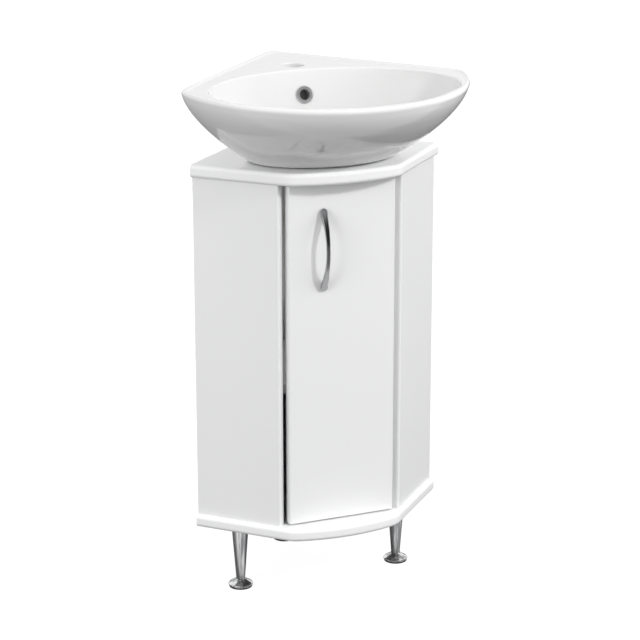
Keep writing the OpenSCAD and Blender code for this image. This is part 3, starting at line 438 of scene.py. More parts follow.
def board_outline(e, arc_n=36, corner_n=14):
    """The outline drawn in by e from the free edges, anticlockwise from the middle of the front."""
    half = [turn(0, arc_y, front_r - e, -90 + (arc_a + 90) * i / arc_n) for i in range(arc_n + 1)]
    half += [turn(round_x, round_y, corner_r - e, arc_a + (-45 - arc_a) * i / corner_n)
             for i in range(1, corner_n + 1)]
    half += [(wall_x + (side_over - e) / ROOT2, wall_y - (side_over - e) / ROOT2)]
    half += [(back_cut / ROOT2, corner_y - back_cut / ROOT2)]
    return half + [(-x, y) for x, y in half[:0:-1]]


# %% A skin through rings of points, and cuts


def skin(rings, name):
    """A closed mesh from rings of points in mm, from the top cap to the bottom cap."""
    work = bmesh.new()
    rows = [[work.verts.new([c * MM for c in p]) for p in ring] for ring in rings]
    n = len(rows[0])
    for upper, lower in zip(rows, rows[1:]):
        for i in range(n):
            j = (i + 1) % n
            work.faces.new((upper[i], lower[i], lower[j], upper[j]))
    work.faces.new(rows[0])
    work.faces.new(rows[-1][::-1])
    bmesh.ops.recalc_face_normals(work, faces=work.faces)
    return put(work, name)


def carve(piece, *tools):
    """Cuts the tools out of a piece."""
    for tool in tools:
        cut = piece.modifiers.new("cut", "BOOLEAN")
        cut.operation, cut.solver, cut.object = "DIFFERENCE", "EXACT", tool
    settle(piece)
    for tool in tools:
        bpy.data.objects.remove(tool)
    return piece


# %% Both boards
FLOOR_Z, CEIL_Z = 142, 742
TOP_Z = CEIL_Z + board_t
foot_c, cut_r, cut_half, tap_hose_r = (0, -3), 78, 34, 24
cut_past = 9  # how far a cutting tool passes the board's faces


def board_rings(z, steps=9):
    """Rings of the board's skin, from its top face round the edge to its bottom face."""
    angles = [math.radians(90 * k / steps) for k in range(steps + 1)]
    upper = [(edge_r * (1 - math.sin(t)), board_t - edge_r * (1 - math.cos(t))) for t in angles]
    lower = [(e, board_t - h) for e, h in reversed(upper)]
    return [[(x, y, z + h) for x, y in board_outline(e)] for e, h in upper + lower]


def prism(outline, low, high, name):
    """An outline made a closed block between two heights."""
    return skin([[(x, y, high) for x, y in outline], [(x, y, low) for x, y in outline]], name)


bottom_board = keep_flat(skin(board_rings(FLOOR_Z - board_t), "bottom"))
adopt(bottom_board, "bottom_board_piece", "bottom_board").data.materials[0] = bow_board
stadium = [turn(foot_c[0] + cut_half, foot_c[1], cut_r, -90 + 180 * i / 48) for i in range(49)]
stadium += [turn(foot_c[0] - cut_half, foot_c[1], cut_r, 90 + 180 * i / 48) for i in range(49)]
tap_y = rim_front + 22 + 300 + 40
hose = [turn(0, tap_y, tap_hose_r, 7.5 * i) for i in range(48)]
top_board = carve(skin(board_rings(CEIL_Z), "top"),
                  prism(stadium, CEIL_Z - cut_past, TOP_Z + cut_past, "cut"),
                  prism(hose, CEIL_Z - cut_past, TOP_Z + cut_past, "hose"))
adopt(keep_flat(top_board), "top_board_piece", "top_board").data.materials[0] = bow_board
print("boards:", len(bottom_board.data.polygons), len(top_board.data.polygons), "faces")

# %% [markdown]
# ## The basin
#
# The basin is slip-cast: one closed ceramic shell with a bowl, a wide tap ledge, an apron along
# each wall and a foot, which is set in a little, so that a thin dark line shows between the basin
# and the top board. Its shape follows rules. In plan the rim is a circle cut off by two walls,
# with the corners softened by a power mean. In section the bowl and the round front are power
# curves. So the piece is lofted from the same rules as its solid, with more points, and the holes
# are then cut. The tap hole's tool flares at the surface, which leaves the soft, glazed lip of a
# real hole.

# %% Rules of the basin
rim_h, rim_rise, bowl_w, bowl_d, rim_w, ledge_t, lip_h, apron_h = 125, 16, 430, 300, 22, 14, 4, 45
rim_z = TOP_Z + rim_h
bowl_c, floor_c = (0, rim_front + rim_w + bowl_d / 2), (0, -2)
floor_rx, floor_ry, floor_edge_z, floor_low_z = 95, 42, TOP_Z - 8, TOP_Z - 12
boss_r, boss_z, drain_r, tap_r, wall_t = 34, TOP_Z - 38, 23, 17.5, 14
foot_rx, foot_ry, under_z = 128, 90, TOP_Z - 24
corner_dist = (basin_corner - ray_y) / ROOT2


def cosd(a):
    return math.cos(math.radians(a))


def sind(a):
    return math.sin(math.radians(a))


def mix(a, b, t):
    return tuple(p + (q - p) * t for p, q in zip(a, b)) if isinstance(a, tuple) else a + (b - a) * t


def ease(low, high, v):
    t = min(1, max(0, (v - low) / (high - low)))
    return t * t * (3 - 2 * t)


def rim_pt(a):
    b = ray_off * sind(a)
    reach = (1 / (b + math.sqrt(b * b - ray_off**2 + basin_r**2))) ** rim_p
    reach += (max(0, cosd(a - 45)) / corner_dist) ** rim_p + (max(0, cosd(a - 135)) / corner_dist) ** rim_p
    reach **= -1 / rim_p
    return reach * cosd(a), ray_y + reach * sind(a)


def rim_top(p):
    return rim_z + rim_rise * (p[1] - rim_front) / (rim_back + rim_oy - rim_front)


def bowl_pt(a):
    return bowl_c[0] + bowl_w / 2 * cosd(a), bowl_c[1] + bowl_d / 2 * sind(a)


def from_rim(a, d):
    p, q = rim_pt(a), bowl_pt(a)
    return mix(p, q, d / math.dist(p, q))


def from_bowl(a, d):
    p, q = rim_pt(a), bowl_pt(a)
    return mix(q, p, d / math.dist(p, q))


def bowl_wall(a, d):
    floor = (floor_c[0] + floor_rx * cosd(a), floor_c[1] + floor_ry * sind(a))
    p = mix(bowl_pt(a), floor, d ** (1.75 - 0.45 * sind(a)))
    return (*p, mix(rim_top(bowl_pt(a)) - lip_h, floor_edge_z, d))


def foot_pt(a):
    return foot_c[0] + foot_rx * cosd(a), foot_c[1] + foot_ry * sind(a)


# %% Sections of the basin
SKIRT_DEPTHS = [0.1, 0.25, 0.4, 0.55, 0.7, 0.84, 0.94, 1]
SWELL, SWELL_FRONT = 1.5, 0.15  # the flanks are nearly straight, and the front bulges a little more


def skirt(a, d):
    swell = SWELL - SWELL_FRONT * sind(a)
    return (*mix(rim_pt(a), foot_pt(a), d**swell), mix(rim_top(rim_pt(a)) - lip_h, TOP_Z, d))


def apron(a):
    r, b = rim_pt(a), from_bowl(a, wall_t)
    t, u, inner = rim_top(r), rim_top(b) - lip_h - ledge_t, from_rim(a, 12)
    return [(*r, t - 0.45 * apron_h), (*r, t - apron_h), (*from_rim(a, 9), t - apron_h),
            (*inner, rim_top(inner) - lip_h - ledge_t), (*b, u),
            (*mix(b, foot_pt(a), 0.3), mix(u, TOP_Z, 0.35)),
            (*mix(b, foot_pt(a), 0.65), mix(u, TOP_Z, 0.7)), (*foot_pt(a), TOP_Z)]


def under(a, k):
    """Outside of the basin at ring k, from 0 below the rim to 7 at the foot."""
    i, t = min(int(k), 6), k - min(int(k), 6)
    front = skirt(a, mix(SKIRT_DEPTHS[i], SKIRT_DEPTHS[i + 1], t))
    sides = apron(a)
    return mix(front, mix(sides[i], sides[i + 1], t), ease(0.05, 0.5, sind(a)))


# %% One column of points, from the bowl's floor over the rim to the boss below
OUTER_STEPS = [0.14 * i for i in range(1, 7)] + [0.93, 1.06, 1.25, 1.8, 1.95, 2.08, 2.5, 2.92, 3.08]
OUTER_STEPS += [3.5, 3.93, 4.07] + [4.07 + 0.16 * i for i in range(1, 17)]
foot_gap, foot_inset = 2.2, 9


def ellipse(c, rx, ry, a):
    return c[0] + rx * cosd(a), c[1] + ry * sind(a)


def rounded(points, at, reach=2, passes=8):
    """Points with the bend at one index eased into its neighbours."""
    for _ in range(passes):
        for i in range(at - reach, at + reach + 1):
            points[i] = mix(points[i], mix(points[i - 1], points[i + 1], 0.5), 0.5)
    return points


def column(a):
    """The basin's section in one direction, as a column of points."""
    behind = ease(-0.35, 0.3, sind(a))  # 0 along the rolled front rim, 1 along the raised lip of the ledge
    drop, inner_r, outer_r = mix(0.6, 2.95, behind), mix(9, 5, behind), mix(7, 4, behind)
    points = [(*ellipse(floor_c, boss_r, boss_r, a), floor_low_z)]
    points += [(*ellipse(floor_c, mix(boss_r, floor_rx, t), mix(boss_r, floor_ry, t), a),
                mix(floor_low_z, floor_edge_z, t**1.6)) for t in (0.3, 0.6, 0.85)]
    below_edge = (drop + inner_r - lip_h) / (rim_top(bowl_pt(a)) - lip_h - floor_edge_z) + 0.012
    points += [bowl_wall(a, mix(1, below_edge, (i / 33) ** 1.1)) for i in range(34)]
    points = rounded(points, 4)
    for t in range(75, -1, -15):  # rounded edge of the bowl
        p = from_bowl(a, inner_r * (1 - sind(t)) * 0.6)
        points.append((*p, rim_top(p) - drop - inner_r * (1 - cosd(t))))
    for t in (0.12, 0.3, 0.5, 0.7, 0.88):  # ledge
        p = mix(from_bowl(a, inner_r * 0.6), from_rim(a, 14), t)
        points.append((*p, rim_top(p) - drop))
    for t in (0, 0.25, 0.5, 0.75, 1):  # raised lip
        p = from_rim(a, mix(13, outer_r + 1, t))
        points.append((*p, rim_top(p) - drop * (1 - ease(0, 1, t))))
    for t in range(15, 91, 15):
        p = from_rim(a, outer_r * (1 - sind(t)))
        points.append((*p, rim_top(p) - outer_r * (1 - cosd(t))))
    first = under(a, 0)
    points += [mix(points[-1], first, t) for t in (0.33, 0.66)] + [first]
    points += [under(a, k) for k in OUTER_STEPS]
    points += [(*ellipse(foot_c, foot_rx + 1, foot_ry + 1, a), TOP_Z + 0.8 * foot_gap),
               (*ellipse(foot_c, foot_rx - foot_inset, foot_ry - foot_inset, a), TOP_Z + foot_gap),
               (*ellipse(foot_c, foot_rx - foot_inset - 1, foot_ry - foot_inset - 1, a), TOP_Z),
               (*ellipse(foot_c, cut_r + cut_half - 8, cut_r - 5, a), TOP_Z),
               (*ellipse(foot_c, cut_r + cut_half - 14, cut_r - 12, a), under_z),
               (*ellipse(floor_c, boss_r + 3, boss_r + 3, a), under_z - 5),
               (*ellipse(floor_c, boss_r, boss_r, a), boss_z)]
    return points


COLUMNS = 240
columns = [column(360 * i / COLUMNS) for i in range(COLUMNS)]
basin = skin([[c[k] for c in columns] for k in range(len(columns[0]))], "basin")
print("basin:", len(columns[0]), "rings of", COLUMNS)

# %% [markdown]
# The tools that cut the holes are turned bodies. A profile of radius and height turns about an
# axis, and the top of the tap hole's tool flares by the radius of the glazed lip.

# %% Turned bodies and the basin's holes


def turned(profile, name, at=(0, 0, 0), axis=(0, 0, 1), count=96):
    """A closed body of revolution from points (radius, height) in mm, from top to bottom."""
    spin = Vector((0, 0, 1)).rotation_difference(Vector(axis)).to_matrix()
    rings = []
    for r, h in profile:
        ring = [spin @ Vector((*turn(0, 0, r, 360 * i / count), h)) for i in range(count)]
        rings.append([tuple(p + Vector(at)) for p in ring])
    return skin(rings, name)


def flared(r, lip, below, above):
    """Profile of a hole's tool: its wall, and a quarter round out to the surface at height 0."""
    arc = [(r + lip - lip * cosd(t), -lip + lip * sind(t)) for t in range(90, -1, -15)]
    return [(r + lip, above)] + arc + [(r, -below)]


tap_top = rim_top((0, tap_y)) - 2.95
tilt = math.atan2(rim_rise, rim_back + rim_oy - rim_front)
ledge_axis = (0, -math.sin(tilt), math.cos(tilt))
overflow_drop, overflow_r, duct_skin, duct_w, duct_out = 41, 11, 6, 18, 7
over_d = overflow_drop / (rim_top(bowl_pt(90)) - lip_h - floor_edge_z)
over_at = bowl_wall(90, over_d)
above_it, below_it = bowl_wall(90, over_d - 0.05), bowl_wall(90, over_d + 0.05)
over_slope = math.atan2(above_it[1] - below_it[1], above_it[2] - below_it[2])
over_axis = (0, -math.cos(over_slope), math.sin(over_slope))
down = [bowl_wall(90, mix(over_d - 0.08, 0.93, t / 6)) for t in range(7)]
duct_low = floor_low_z - 11
duct_end = floor_c[1] + drain_r - 3
duct = [(p[1] + duct_skin, p[2]) for p in down]
duct += [(floor_c[1] + floor_ry + 2, floor_edge_z - duct_skin)]
duct += [(floor_c[1] + boss_r, floor_low_z - duct_skin), (duct_end, duct_low + 5), (duct_end, duct_low)]
duct += [(down[6][1] + duct_skin + duct_out, duct_low)]
duct += [(p[1] + duct_skin + duct_out, p[2]) for p in down[5::-1]]
duct_tool = skin([[(x, y, z) for y, z in duct] for x in (-duct_w / 2, duct_w / 2)], "duct")
carve(basin, turned(flared(tap_r, 2.2, 45, 20), "tap", (0, tap_y, tap_top), ledge_axis),
      turned([(drain_r, 40), (drain_r, -60)], "drain", (*floor_c, floor_low_z)),
      turned([(overflow_r, 20), (overflow_r, -duct_skin - 3)], "over", over_at, over_axis), duct_tool)
adopt(shade(basin, 38), "basin_piece", "basin")
print("basin after cutting:", len(basin.data.polygons), "faces")

# %% [markdown]
# ## The bow handle
#
# The handle is a zinc casting, plated. It is waisted: wide at its two feet, narrow in the middle,
# and bowed away from the door. Each station along its height is a squircle, which gives the soft
# edges that plating needs.

# %% Loft the handle
handle_l, handle_out, handle_t, end_w, mid_w = 142, 26, 5, 13, 6.5
handle_x, handle_z, door_front = -33, 626, front_y - 3


def bow(reach, height, z):
    """Height over the door of a circle through the bow's ends."""
    r = (reach**2 + height**2) / (2 * height)
    return height - r + math.sqrt(r * r - z * z)


def handle_station(z, count=40):
    """The handle's section at a height over its middle."""
    outer = bow(handle_l / 2 + 5, handle_out, z)
    open_half = handle_l / 2 - 13
    inner = bow(open_half, handle_out - handle_t, z) if abs(z) < open_half else 0
    dip = (end_w - mid_w) / 2
    waist_r = ((handle_l / 2) ** 2 + dip**2) / (2 * dip)
    half = mid_w / 2 + waist_r - math.sqrt(waist_r**2 - z * z)
    past = abs(z) - (handle_l - end_w) / 2
    if past > 0:
        half = min(half, math.sqrt(max(0.3, (end_w / 2) ** 2 - past**2)))
    y0, dy = (inner + outer) / 2, (outer - inner) / 2
    ring = []
    for i in range(count):
        c, s = cosd(360 * i / count), sind(360 * i / count)
        x = half * math.copysign(abs(c) ** 0.62, c)
        y = dy * math.copysign(abs(s) ** 0.62, s)
        ring.append((handle_x + x, door_front - y0 - y, handle_z + z))
    return ring


stations = [handle_l / 2 * math.cos(math.radians(180 * i / 110)) for i in range(111)]
stations = [max(-handle_l / 2 + 0.05, min(handle_l / 2 - 0.05, z)) for z in stations]
handle = shade(skin([handle_station(z) for z in stations], "handle"), 60)
adopt(handle, "handle_piece", "handle").data.materials[0] = handle_chrome
print("handle:", len(handle.data.polygons), "faces")

# %% [markdown]
# ## Legs and feet
#
# The legs are drawn steel cones, brushed and chrome-plated. Each foot is a turned cone on a
# threaded stud, so that the unit can be levelled. Leg and foot are bodies of revolution, made
# from the profiles of their solids with more points. The stud's thread shows once the foot is
# screwed out. A thread is a profile that follows a helix, which is what Geometry Nodes do well: a
# Spiral curve, a small triangle as profile, and Curve to Mesh.

# %% Turned legs and feet
leg_h, foot_h, pad_t, plate_h = 120, 14, 2, 2.5
leg_top_r, leg_low_r, foot_r, stud_r, stud_l = 15, 7.7, 21.4, 4, 34
front_leg = (wall_x - (60 + 42) / ROOT2, wall_y - (60 - 42) / ROOT2)
LEGS = {"left": (-front_leg[0], front_leg[1]), "right": front_leg, "back": (0, corner_y - 62)}
top = leg_h - plate_h
leg_profile = [(leg_top_r - 0.6, top), (leg_top_r - 0.17, top - 0.17), (leg_top_r, top - 0.6)]
leg_profile += [mix((leg_top_r, top - 3), (leg_low_r, foot_h + 0.8), t / 12) for t in range(13)]
leg_profile += [(leg_low_r - 0.2, foot_h + 0.3), (leg_low_r - 0.7, foot_h), (stud_r + 0.4, foot_h),
                (stud_r + 0.4, foot_h + stud_l + 2)]
rim_round = 2.4
rim_c, neck = (foot_r - rim_round, pad_t + rim_round), (leg_low_r + 0.8, foot_h)
slope = math.degrees(math.atan2(neck[1] - rim_c[1], neck[0] - rim_c[0])
                     - math.acos(rim_round / math.dist(neck, rim_c)))
foot_profile = [(stud_r - 1.2, foot_h + stud_l), (stud_r - 0.7, foot_h + stud_l - 0.6),
                (stud_r - 0.7, foot_h + 0.4), (leg_low_r - 1, foot_h - 0.05),
                (neck[0] - 0.5, foot_h - 0.12), (neck[0] - 0.1, foot_h - 0.5)]
foot_profile += [mix(neck, turn(*rim_c, rim_round, slope), t / 8) for t in range(1, 8)]
foot_profile += [turn(*rim_c, rim_round, mix(slope, -90, t / 10)) for t in range(11)]
foot_profile += [(6, pad_t)]
for side, (x, y) in LEGS.items():
    for part, profile in (("_leg", leg_profile), ("_foot", foot_profile)):
        piece = shade(turned(profile, side + part, (x, y, 0)), 40)
        adopt(piece, side + part + "_piece", side + part).data.materials[0] = chrome_with_painted_streaks
print("legs at", {side: (round(x), round(y)) for side, (x, y) in LEGS.items()})

# %% A tree for threads


def new_tree(name, sizes):
    """A Geometry Nodes tree with a geometry, named sizes and a material as inputs, and one output."""
    tree = bpy.data.node_groups.new(name, "GeometryNodeTree")
    face = tree.interface
    face.new_socket("Geometry", in_out="INPUT", socket_type="NodeSocketGeometry")
    for label, value in sizes.items():
        kind = "NodeSocketInt" if isinstance(value, int) else "NodeSocketFloat"
        face.new_socket(label, in_out="INPUT", socket_type=kind).default_value = value
    face.new_socket("Material", in_out="INPUT", socket_type="NodeSocketMaterial")
    face.new_socket("Geometry", in_out="OUTPUT", socket_type="NodeSocketGeometry")
    return tree, tree.nodes.new("NodeGroupInput"), tree.nodes.new("NodeGroupOutput")


def join(tree, kind, settings=None, **sockets):
    """Adds a node. A socket goes by its name, or by a number as in i0, and takes a value or an output."""
    node = tree.nodes.new(kind)
    for key, value in (settings or {}).items():
        setattr(node, key, value)
    for key, value in sockets.items():
        numbered = key[0] == "i" and key[1:].isdigit()
        target = node.inputs[int(key[1:]) if numbered else key.replace("_", " ")]
        if isinstance(value, bpy.types.NodeSocket):
            tree.links.new(value, target)
        else:
            target.default_value = value
    return node


def grow(host, tree, finish, **sizes):
    """Runs a tree on an object and keeps the plain mesh that it makes."""
    modifier = host.modifiers.new(tree.name, "NODES")
    modifier.node_group = tree
    for item in tree.interface.items_tree:
        if item.in_out == "INPUT" and item.name in sizes:
            modifier[item.identifier] = sizes[item.name]
        if item.in_out == "INPUT" and item.name == "Material":
            modifier[item.identifier] = finish
    return settle(host)


def thread_tree():
    sizes = {"Core": 3.3 * MM, "Outside": 3.98 * MM, "Pitch": 1.25 * MM, "Length": 30 * MM}
    tree, given, result = new_tree("thread", sizes)
    size = given.outputs
    turns = join(tree, "ShaderNodeMath", {"operation": "DIVIDE"}, i0=size["Length"], i1=size["Pitch"])
    path = join(tree, "GeometryNodeCurveSpiral", Resolution=40, Rotations=turns.outputs[0],
                Start_Radius=size["Core"], End_Radius=size["Core"], Height=size["Length"])
    depth = join(tree, "ShaderNodeMath", {"operation": "SUBTRACT"}, i0=size["Outside"], i1=size["Core"])
    profile = join(tree, "GeometryNodeCurvePrimitiveCircle", Resolution=3, Radius=depth.outputs[0])
    swept = join(tree, "GeometryNodeCurveToMesh", Curve=path.outputs[0],
                 Profile_Curve=profile.outputs[0], Fill_Caps=True)
    real = join(tree, "GeometryNodeRealizeInstances", Geometry=swept.outputs[0])
    painted = join(tree, "GeometryNodeSetMaterial", Geometry=real.outputs[0], Material=size["Material"])
    tree.links.new(painted.outputs[0], result.inputs[0])
    return tree


thread = thread_tree()
for side, (x, y) in LEGS.items():
    host = put(bpy.data.meshes.new("thread"), side + "_thread")
    grow(host, thread, zinc_steel, Length=(stud_l - 3) * MM)
    host.data.transform(Matrix.Translation(Vector((x, y, foot_h + 1.5)) * MM))
    adopt(host, side + "_foot_thread", body=side + "_foot", slot="zinc_steel")
print("threads:", len(host.data.polygons), "faces each")

# %% [markdown]
# ## Screws
#
# A unit like this is held by dozens of screws, and all of one kind are alike. Each group of
# solids is measured: where the heads are, which way the screws go in, and how long they are. A
# tree then builds one screw with a cross recess, puts it on every point, turns each by its own
# angle, and realizes the result as a mesh.

# %% Measure the screws of a group


def solids_of(node):
    """The separate solids of a node, each as an array of points in mm."""
    work = bmesh.new()
    work.from_mesh(nodes[node].data)
    bmesh.ops.remove_doubles(work, verts=work.verts, dist=WELD)
    left, groups = set(work.verts), []
    while left:
        stack, group = [left.pop()], []
        while stack:
            vert = stack.pop()
            group.append(vert.co / MM)
            for edge in vert.link_edges:
                other = edge.other_vert(vert)
                if other in left:
                    left.remove(other)
                    stack.append(other)
        groups.append(np.array(group))
    work.free()
    return groups


def measure_screw(points):
    """Top of the head, direction, and the head's radius and height, the shank's radius and the length."""
    middle = (points.max(0) + points.min(0)) / 2
    axis = np.linalg.eigh(np.cov((points - middle).T))[1][:, -1]
    along = (points - middle) @ axis
    radial = np.linalg.norm(points - middle - np.outer(along, axis), axis=1)
    if radial[along > along.max() - 0.01].max() > radial[along < along.min() + 0.01].max():
        axis, along = -axis, -along
    head_r = radial[along < along.min() + 0.01].max()
    shank_r = radial[along > along.max() - 0.01].max()
    head_h = np.ptp(along[radial > (head_r + shank_r) / 2])
    sizes = (head_r, head_h, shank_r, np.ptp(along))
    return middle + axis * along.min(), axis, *map(float, sizes)


# %% A tree for screws


def screw_tree():
    sizes = {"Head radius": 3.5 * MM, "Head height": 1.6 * MM, "Shank radius": 1.7 * MM,
             "Length": 14 * MM, "Recess": 2.2 * MM, "Seed": 5}
    tree, given, result = new_tree("screws", sizes)
    size = given.outputs

    def scaled(socket, factor):
        return join(tree, "ShaderNodeMath", {"operation": "MULTIPLY"}, i0=socket, i1=factor).outputs[0]

    def moved(geometry, height):
        offset = join(tree, "ShaderNodeCombineXYZ", Z=height).outputs[0]
        return join(tree, "GeometryNodeTransform", Geometry=geometry, Translation=offset).outputs[0]

    head = join(tree, "GeometryNodeMeshCone", Vertices=32, Side_Segments=3, Radius_Top=size["Head radius"],
                Radius_Bottom=scaled(size["Head radius"], 0.8), Depth=size["Head height"]).outputs[0]
    bars = []
    for wide in ("X", "Y"):
        long = scaled(size["Recess"], 2)
        box = join(tree, "ShaderNodeCombineXYZ", Z=scaled(size["Head height"], 1.2),
                   **{wide: long, "XY".replace(wide, ""): scaled(size["Recess"], 0.42)})
        cube = join(tree, "GeometryNodeMeshCube", Size=box.outputs[0]).outputs[0]
        bars.append(moved(cube, scaled(size["Head height"], -0.05)))
    cut = head
    for bar in bars:
        cut = join(tree, "GeometryNodeMeshBoolean", {"operation": "DIFFERENCE"}, i0=cut, i1=bar).outputs[0]
    shank = join(tree, "GeometryNodeMeshCylinder", Vertices=20, Radius=size["Shank radius"],
                 Depth=size["Length"]).outputs[0]
    middle = join(tree, "ShaderNodeMath", {"operation": "MULTIPLY_ADD"}, i0=size["Length"], i1=0.5,
                  i2=scaled(size["Head height"], 0.45))
    both = tree.nodes.new("GeometryNodeJoinGeometry")
    tree.links.new(cut, both.inputs[0])
    tree.links.new(moved(shank, middle.outputs[0]), both.inputs[0])
    axis = join(tree, "GeometryNodeInputNamedAttribute", {"data_type": "FLOAT_VECTOR"}, Name="axis")
    aim = join(tree, "FunctionNodeAlignRotationToVector", {"axis": "Z"}, Vector=axis.outputs[0])
    angle = join(tree, "FunctionNodeRandomValue", {"data_type": "FLOAT"}, Seed=size["Seed"])
    angle.inputs[3].default_value = math.pi
    spin = join(tree, "FunctionNodeAxisAngleToRotation", Axis=(0, 0, 1), Angle=angle.outputs[1])
    turn_it = join(tree, "FunctionNodeRotateRotation", {"rotation_space": "LOCAL"},
                   Rotation=aim.outputs[0], Rotate_By=spin.outputs[0])
    spread = join(tree, "GeometryNodeInstanceOnPoints", Points=size["Geometry"],
                  Instance=both.outputs[0], Rotation=turn_it.outputs[0])
    real = join(tree, "GeometryNodeRealizeInstances", Geometry=spread.outputs[0])
    painted = join(tree, "GeometryNodeSetMaterial", Geometry=real.outputs[0], Material=size["Material"])
    tree.links.new(painted.outputs[0], result.inputs[0])
    return tree


screws = screw_tree()
SCREW_NODES = ["panel_screws", "bracket_screws", "handle_screws", "hinge_cup_screws", "hinge_arm_screws",
               "hinge_plate_screws", "leg_screws"]
for number, name in enumerate(SCREW_NODES):
    found = [measure_screw(points) for points in solids_of(name)]
    head_r, head_h, shank_r, length = found[0][2:]
    mesh = bpy.data.meshes.new(name)
    mesh.from_pydata([[c * MM for c in f[0] + f[1] * head_h / 2] for f in found], [], [])
    axes = mesh.attributes.new("axis", "FLOAT_VECTOR", "POINT")
    axes.data.foreach_set("vector", np.ravel([f[1] for f in found]))
    host = put(mesh, name)
    grow(host, screws, finishes[slot_of_node[name]],
         Seed=number, Length=(length - head_h) * MM, Recess=head_r * 0.6 * MM,
         **{"Head radius": head_r * MM, "Head height": head_h * MM, "Shank radius": shank_r * 0.97 * MM})
    adopt(shade(host, 40), name + "_piece", name)
    print(name, len(found), "screws,", len(host.data.polygons), "faces")

# %% [markdown]
# ## Hinges, brackets, waste and trap
#
# These pieces have the right shape already. Their copies are welded and shaded, and the pressed
# and moulded ones get a small radius on their edges.

# %% Fittings
FITTINGS = {"top_brackets": 0.3, "upper_hinge_cup": 0, "lower_hinge_cup": 0,
            "upper_hinge_arm": 0.15, "lower_hinge_arm": 0.15,
            "upper_hinge_plate": 0.2, "lower_hinge_plate": 0.2,
            "upper_hinge_pin": 0.2, "lower_hinge_pin": 0.2,
            "left_leg_plate": 0.3, "right_leg_plate": 0.3, "back_leg_plate": 0.3,
            "left_foot_pad": 0.4, "right_foot_pad": 0.4, "back_foot_pad": 0.4,
            "shelf_pins": 0.3, "panel_dowels": 0.4, "overflow_ring": 0,
            "waste_strainer": 0, "waste_washer": 0.3, "waste_nut": 0.3,
            "trap_inlet_nut": 0.3, "trap_body": 0.5, "trap_cup": 0.3, "trap_outlet_nut": 0.3,
            "outlet_pipe": 0, "wall_rosette": 0.3}
for name, radius in FITTINGS.items():
    soften(name, radius, angle=40)
# the overflow ring takes the satin chrome whose raised tone is painted light
bpy.data.objects["overflow_ring_piece"].data.materials[0] = satin_chrome_painted_brighter
print(len(FITTINGS), "fittings")

# %% [markdown]
# ## Floor, light and camera
#
# The unit stands on a white sheet in a studio. To the camera the floor and the room are plain
# white. Metal mirrors the white too, but also what a real studio holds: the shade under the
# cabinet, the end of the sheet, and the dark room behind the camera. Without these dark parts
# chrome looks like white plastic. Every other ray sees a soft sky, brighter above than at the
# horizon, and a grey floor, so that little light comes up from below.

# %% Floor


def floor_paint():
    paint = Paint("studio_floor", Roughness=0.9)
    paint.shader.inputs["Base Color"].default_value = (0.12, 0.12, 0.12, 1)
    camera_ray, mirror_ray, glass_ray = paint.rays()
    y = paint.add("ShaderNodeSeparateXYZ", {}, {0: paint.place}, out=1)
    past_shade, before_end = paint.step(y, 0.03, -0.09), paint.step(y, -0.95, -0.55)
    mirrored = 0.02 + 0.6 * past_shade * before_end
    strength = 0.92 * camera_ray + mirrored * mirror_ray + 0.92 * glass_ray
    glow = paint.add("ShaderNodeEmission", {}, {"Color": (1, 1, 1, 1), "Strength": strength})
    both = paint.add("ShaderNodeAddShader", {}, {0: Wire(paint, paint.shader.outputs[0]), 1: glow})
    paint.tree.links.new(both.socket, paint.tree.nodes["Material Output"].inputs[0])
    return paint.material


FLOOR_HALF, FLOOR_T = 9000, 20
corners = [(-1, -1), (1, -1), (1, 1), (-1, 1)]
floor = prism([(FLOOR_HALF * x, FLOOR_HALF * y) for x, y in corners], -FLOOR_T, 0, "studio_floor")
floor.data.materials.append(floor_paint())
print("floor:", FLOOR_HALF * 2 * MM, "m wide")

# %% Room


class Sky(Paint):
    """The light of the room, as sums on the direction of a ray."""

    def __init__(self, name):
        world = bpy.data.worlds.new(name)
        bpy.context.scene.world = world
        world.use_nodes = True
        self.tree = world.node_tree
        self.shader = self.tree.nodes["Background"]
        self.place = self.add("ShaderNodeTexCoord", out="Generated")


sky = Sky("studio")
camera_ray, mirror_ray, glass_ray = sky.rays()
depth, height = (sky.add("ShaderNodeSeparateXYZ", {}, {0: sky.place}, out=k) for k in (1, 2))
soft_light = sky.add("ShaderNodeMapRange", {}, {0: height, 1: -0.08, 2: 0.72, 3: 0.45, 4: 0.87})
before_unit, below_zenith = sky.step(depth, -0.15, -0.6), sky.step(height, 0.98, 0.4)
mirrored = 0.9 - 0.87 * before_unit * below_zenith
plain = camera_ray + glass_ray
sky.set("Strength", plain + (1 - plain) * (mirror_ray * mirrored + (1 - mirror_ray) * soft_light))
sky.shader.inputs["Color"].default_value = (1, 1, 1, 1)
print("room:", len(sky.tree.nodes), "nodes")

# %% [markdown]
# Two broad lamps light the sides, the left one more, so that the panels and the door get their
# three tones. A small key lamp in front throws the handle's shadow, and a low lamp behind lights
# the back. No mirroring surface shows them, as the glaze in the photo mirrors only the room.

# %% Lamps


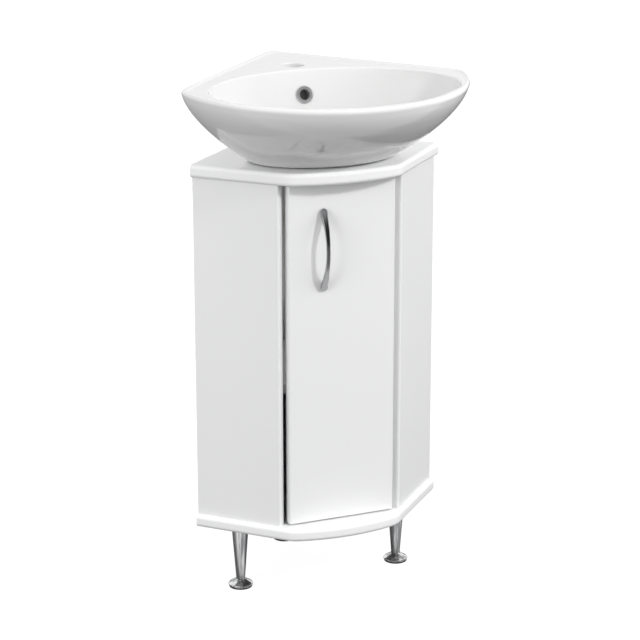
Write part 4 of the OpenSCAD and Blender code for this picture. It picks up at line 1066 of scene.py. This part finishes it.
def lamp(name, at, aim, size, power):
    """An area lamp at a place in m, turned to its aim. Its size is in m and its power in W."""
    data = bpy.data.lights.new(name, "AREA")
    data.shape, data.size, data.size_y, data.energy = "RECTANGLE", size[0], size[1], power
    lit = bpy.data.objects.new(name, data)
    lit.location = at
    lit.visible_glossy = False
    lit.rotation_euler = (Vector(aim) - Vector(at)).to_track_quat("-Z", "Y").to_euler()
    bpy.context.scene.collection.objects.link(lit)


lamp("left", (-2.5, -1.3, 1.2), (0, 0, 0.5), (1.2, 1.8), 35)
lamp("right", (2.5, -1.3, 1.35), (0, 0, 0.5), (1.2, 1.8), 23)
lamp("key", (1.7, -2.4, 2.45), (0, 0, 0.6), (0.35, 0.35), 50)
lamp("back", (0.4, 2.8, 0.8), (0, 0, 0.5), (1.8, 1.4), 26)
print("lamps:", [light.name for light in bpy.data.lights])

# %% [markdown]
# The camera was solved from the cabinet's straight edges: its focal length in pixels, its place and
# its three angles. It aims at a row above the middle of the picture, which the lens takes as a
# shift.

# %% Camera of the photograph
PHOTO, FOCAL, AIM_ROW, SENSOR = 640, 2109.2, 280, 36  # three in px, the sensor in mm
EYE, SOLVED_CORNER = (-1.3133, -3.2396, 1.5401), 0.22158  # m, and the back corner's y when it was solved
azimuth, pitch, roll = math.radians(22.179), math.radians(15.963), math.radians(-0.068)
ahead = Vector((math.sin(azimuth) * math.cos(pitch), math.cos(azimuth) * math.cos(pitch), -math.sin(pitch)))
right = Vector((math.cos(azimuth), -math.sin(azimuth), 0))
upward = right.cross(ahead)
right, upward = (right * math.cos(roll) + upward * math.sin(roll),
                 upward * math.cos(roll) - right * math.sin(roll))
facing = Matrix((right, upward, -ahead)).transposed().to_4x4()
lens = bpy.data.cameras.new("photo_camera")
lens.sensor_width, lens.lens, lens.shift_y = SENSOR, FOCAL / PHOTO * SENSOR, (AIM_ROW - PHOTO / 2) / PHOTO
camera = bpy.data.objects.new("photo_camera", lens)
place = (EYE[0], EYE[1] + corner_y * MM - SOLVED_CORNER, EYE[2])
camera.matrix_world = Matrix.Translation(place) @ facing
bpy.context.scene.collection.objects.link(camera)
bpy.context.scene.camera = camera
bpy.context.scene.view_settings.view_transform = "Standard"
print("camera at", [round(value, 3) for value in place])

# %% [markdown]
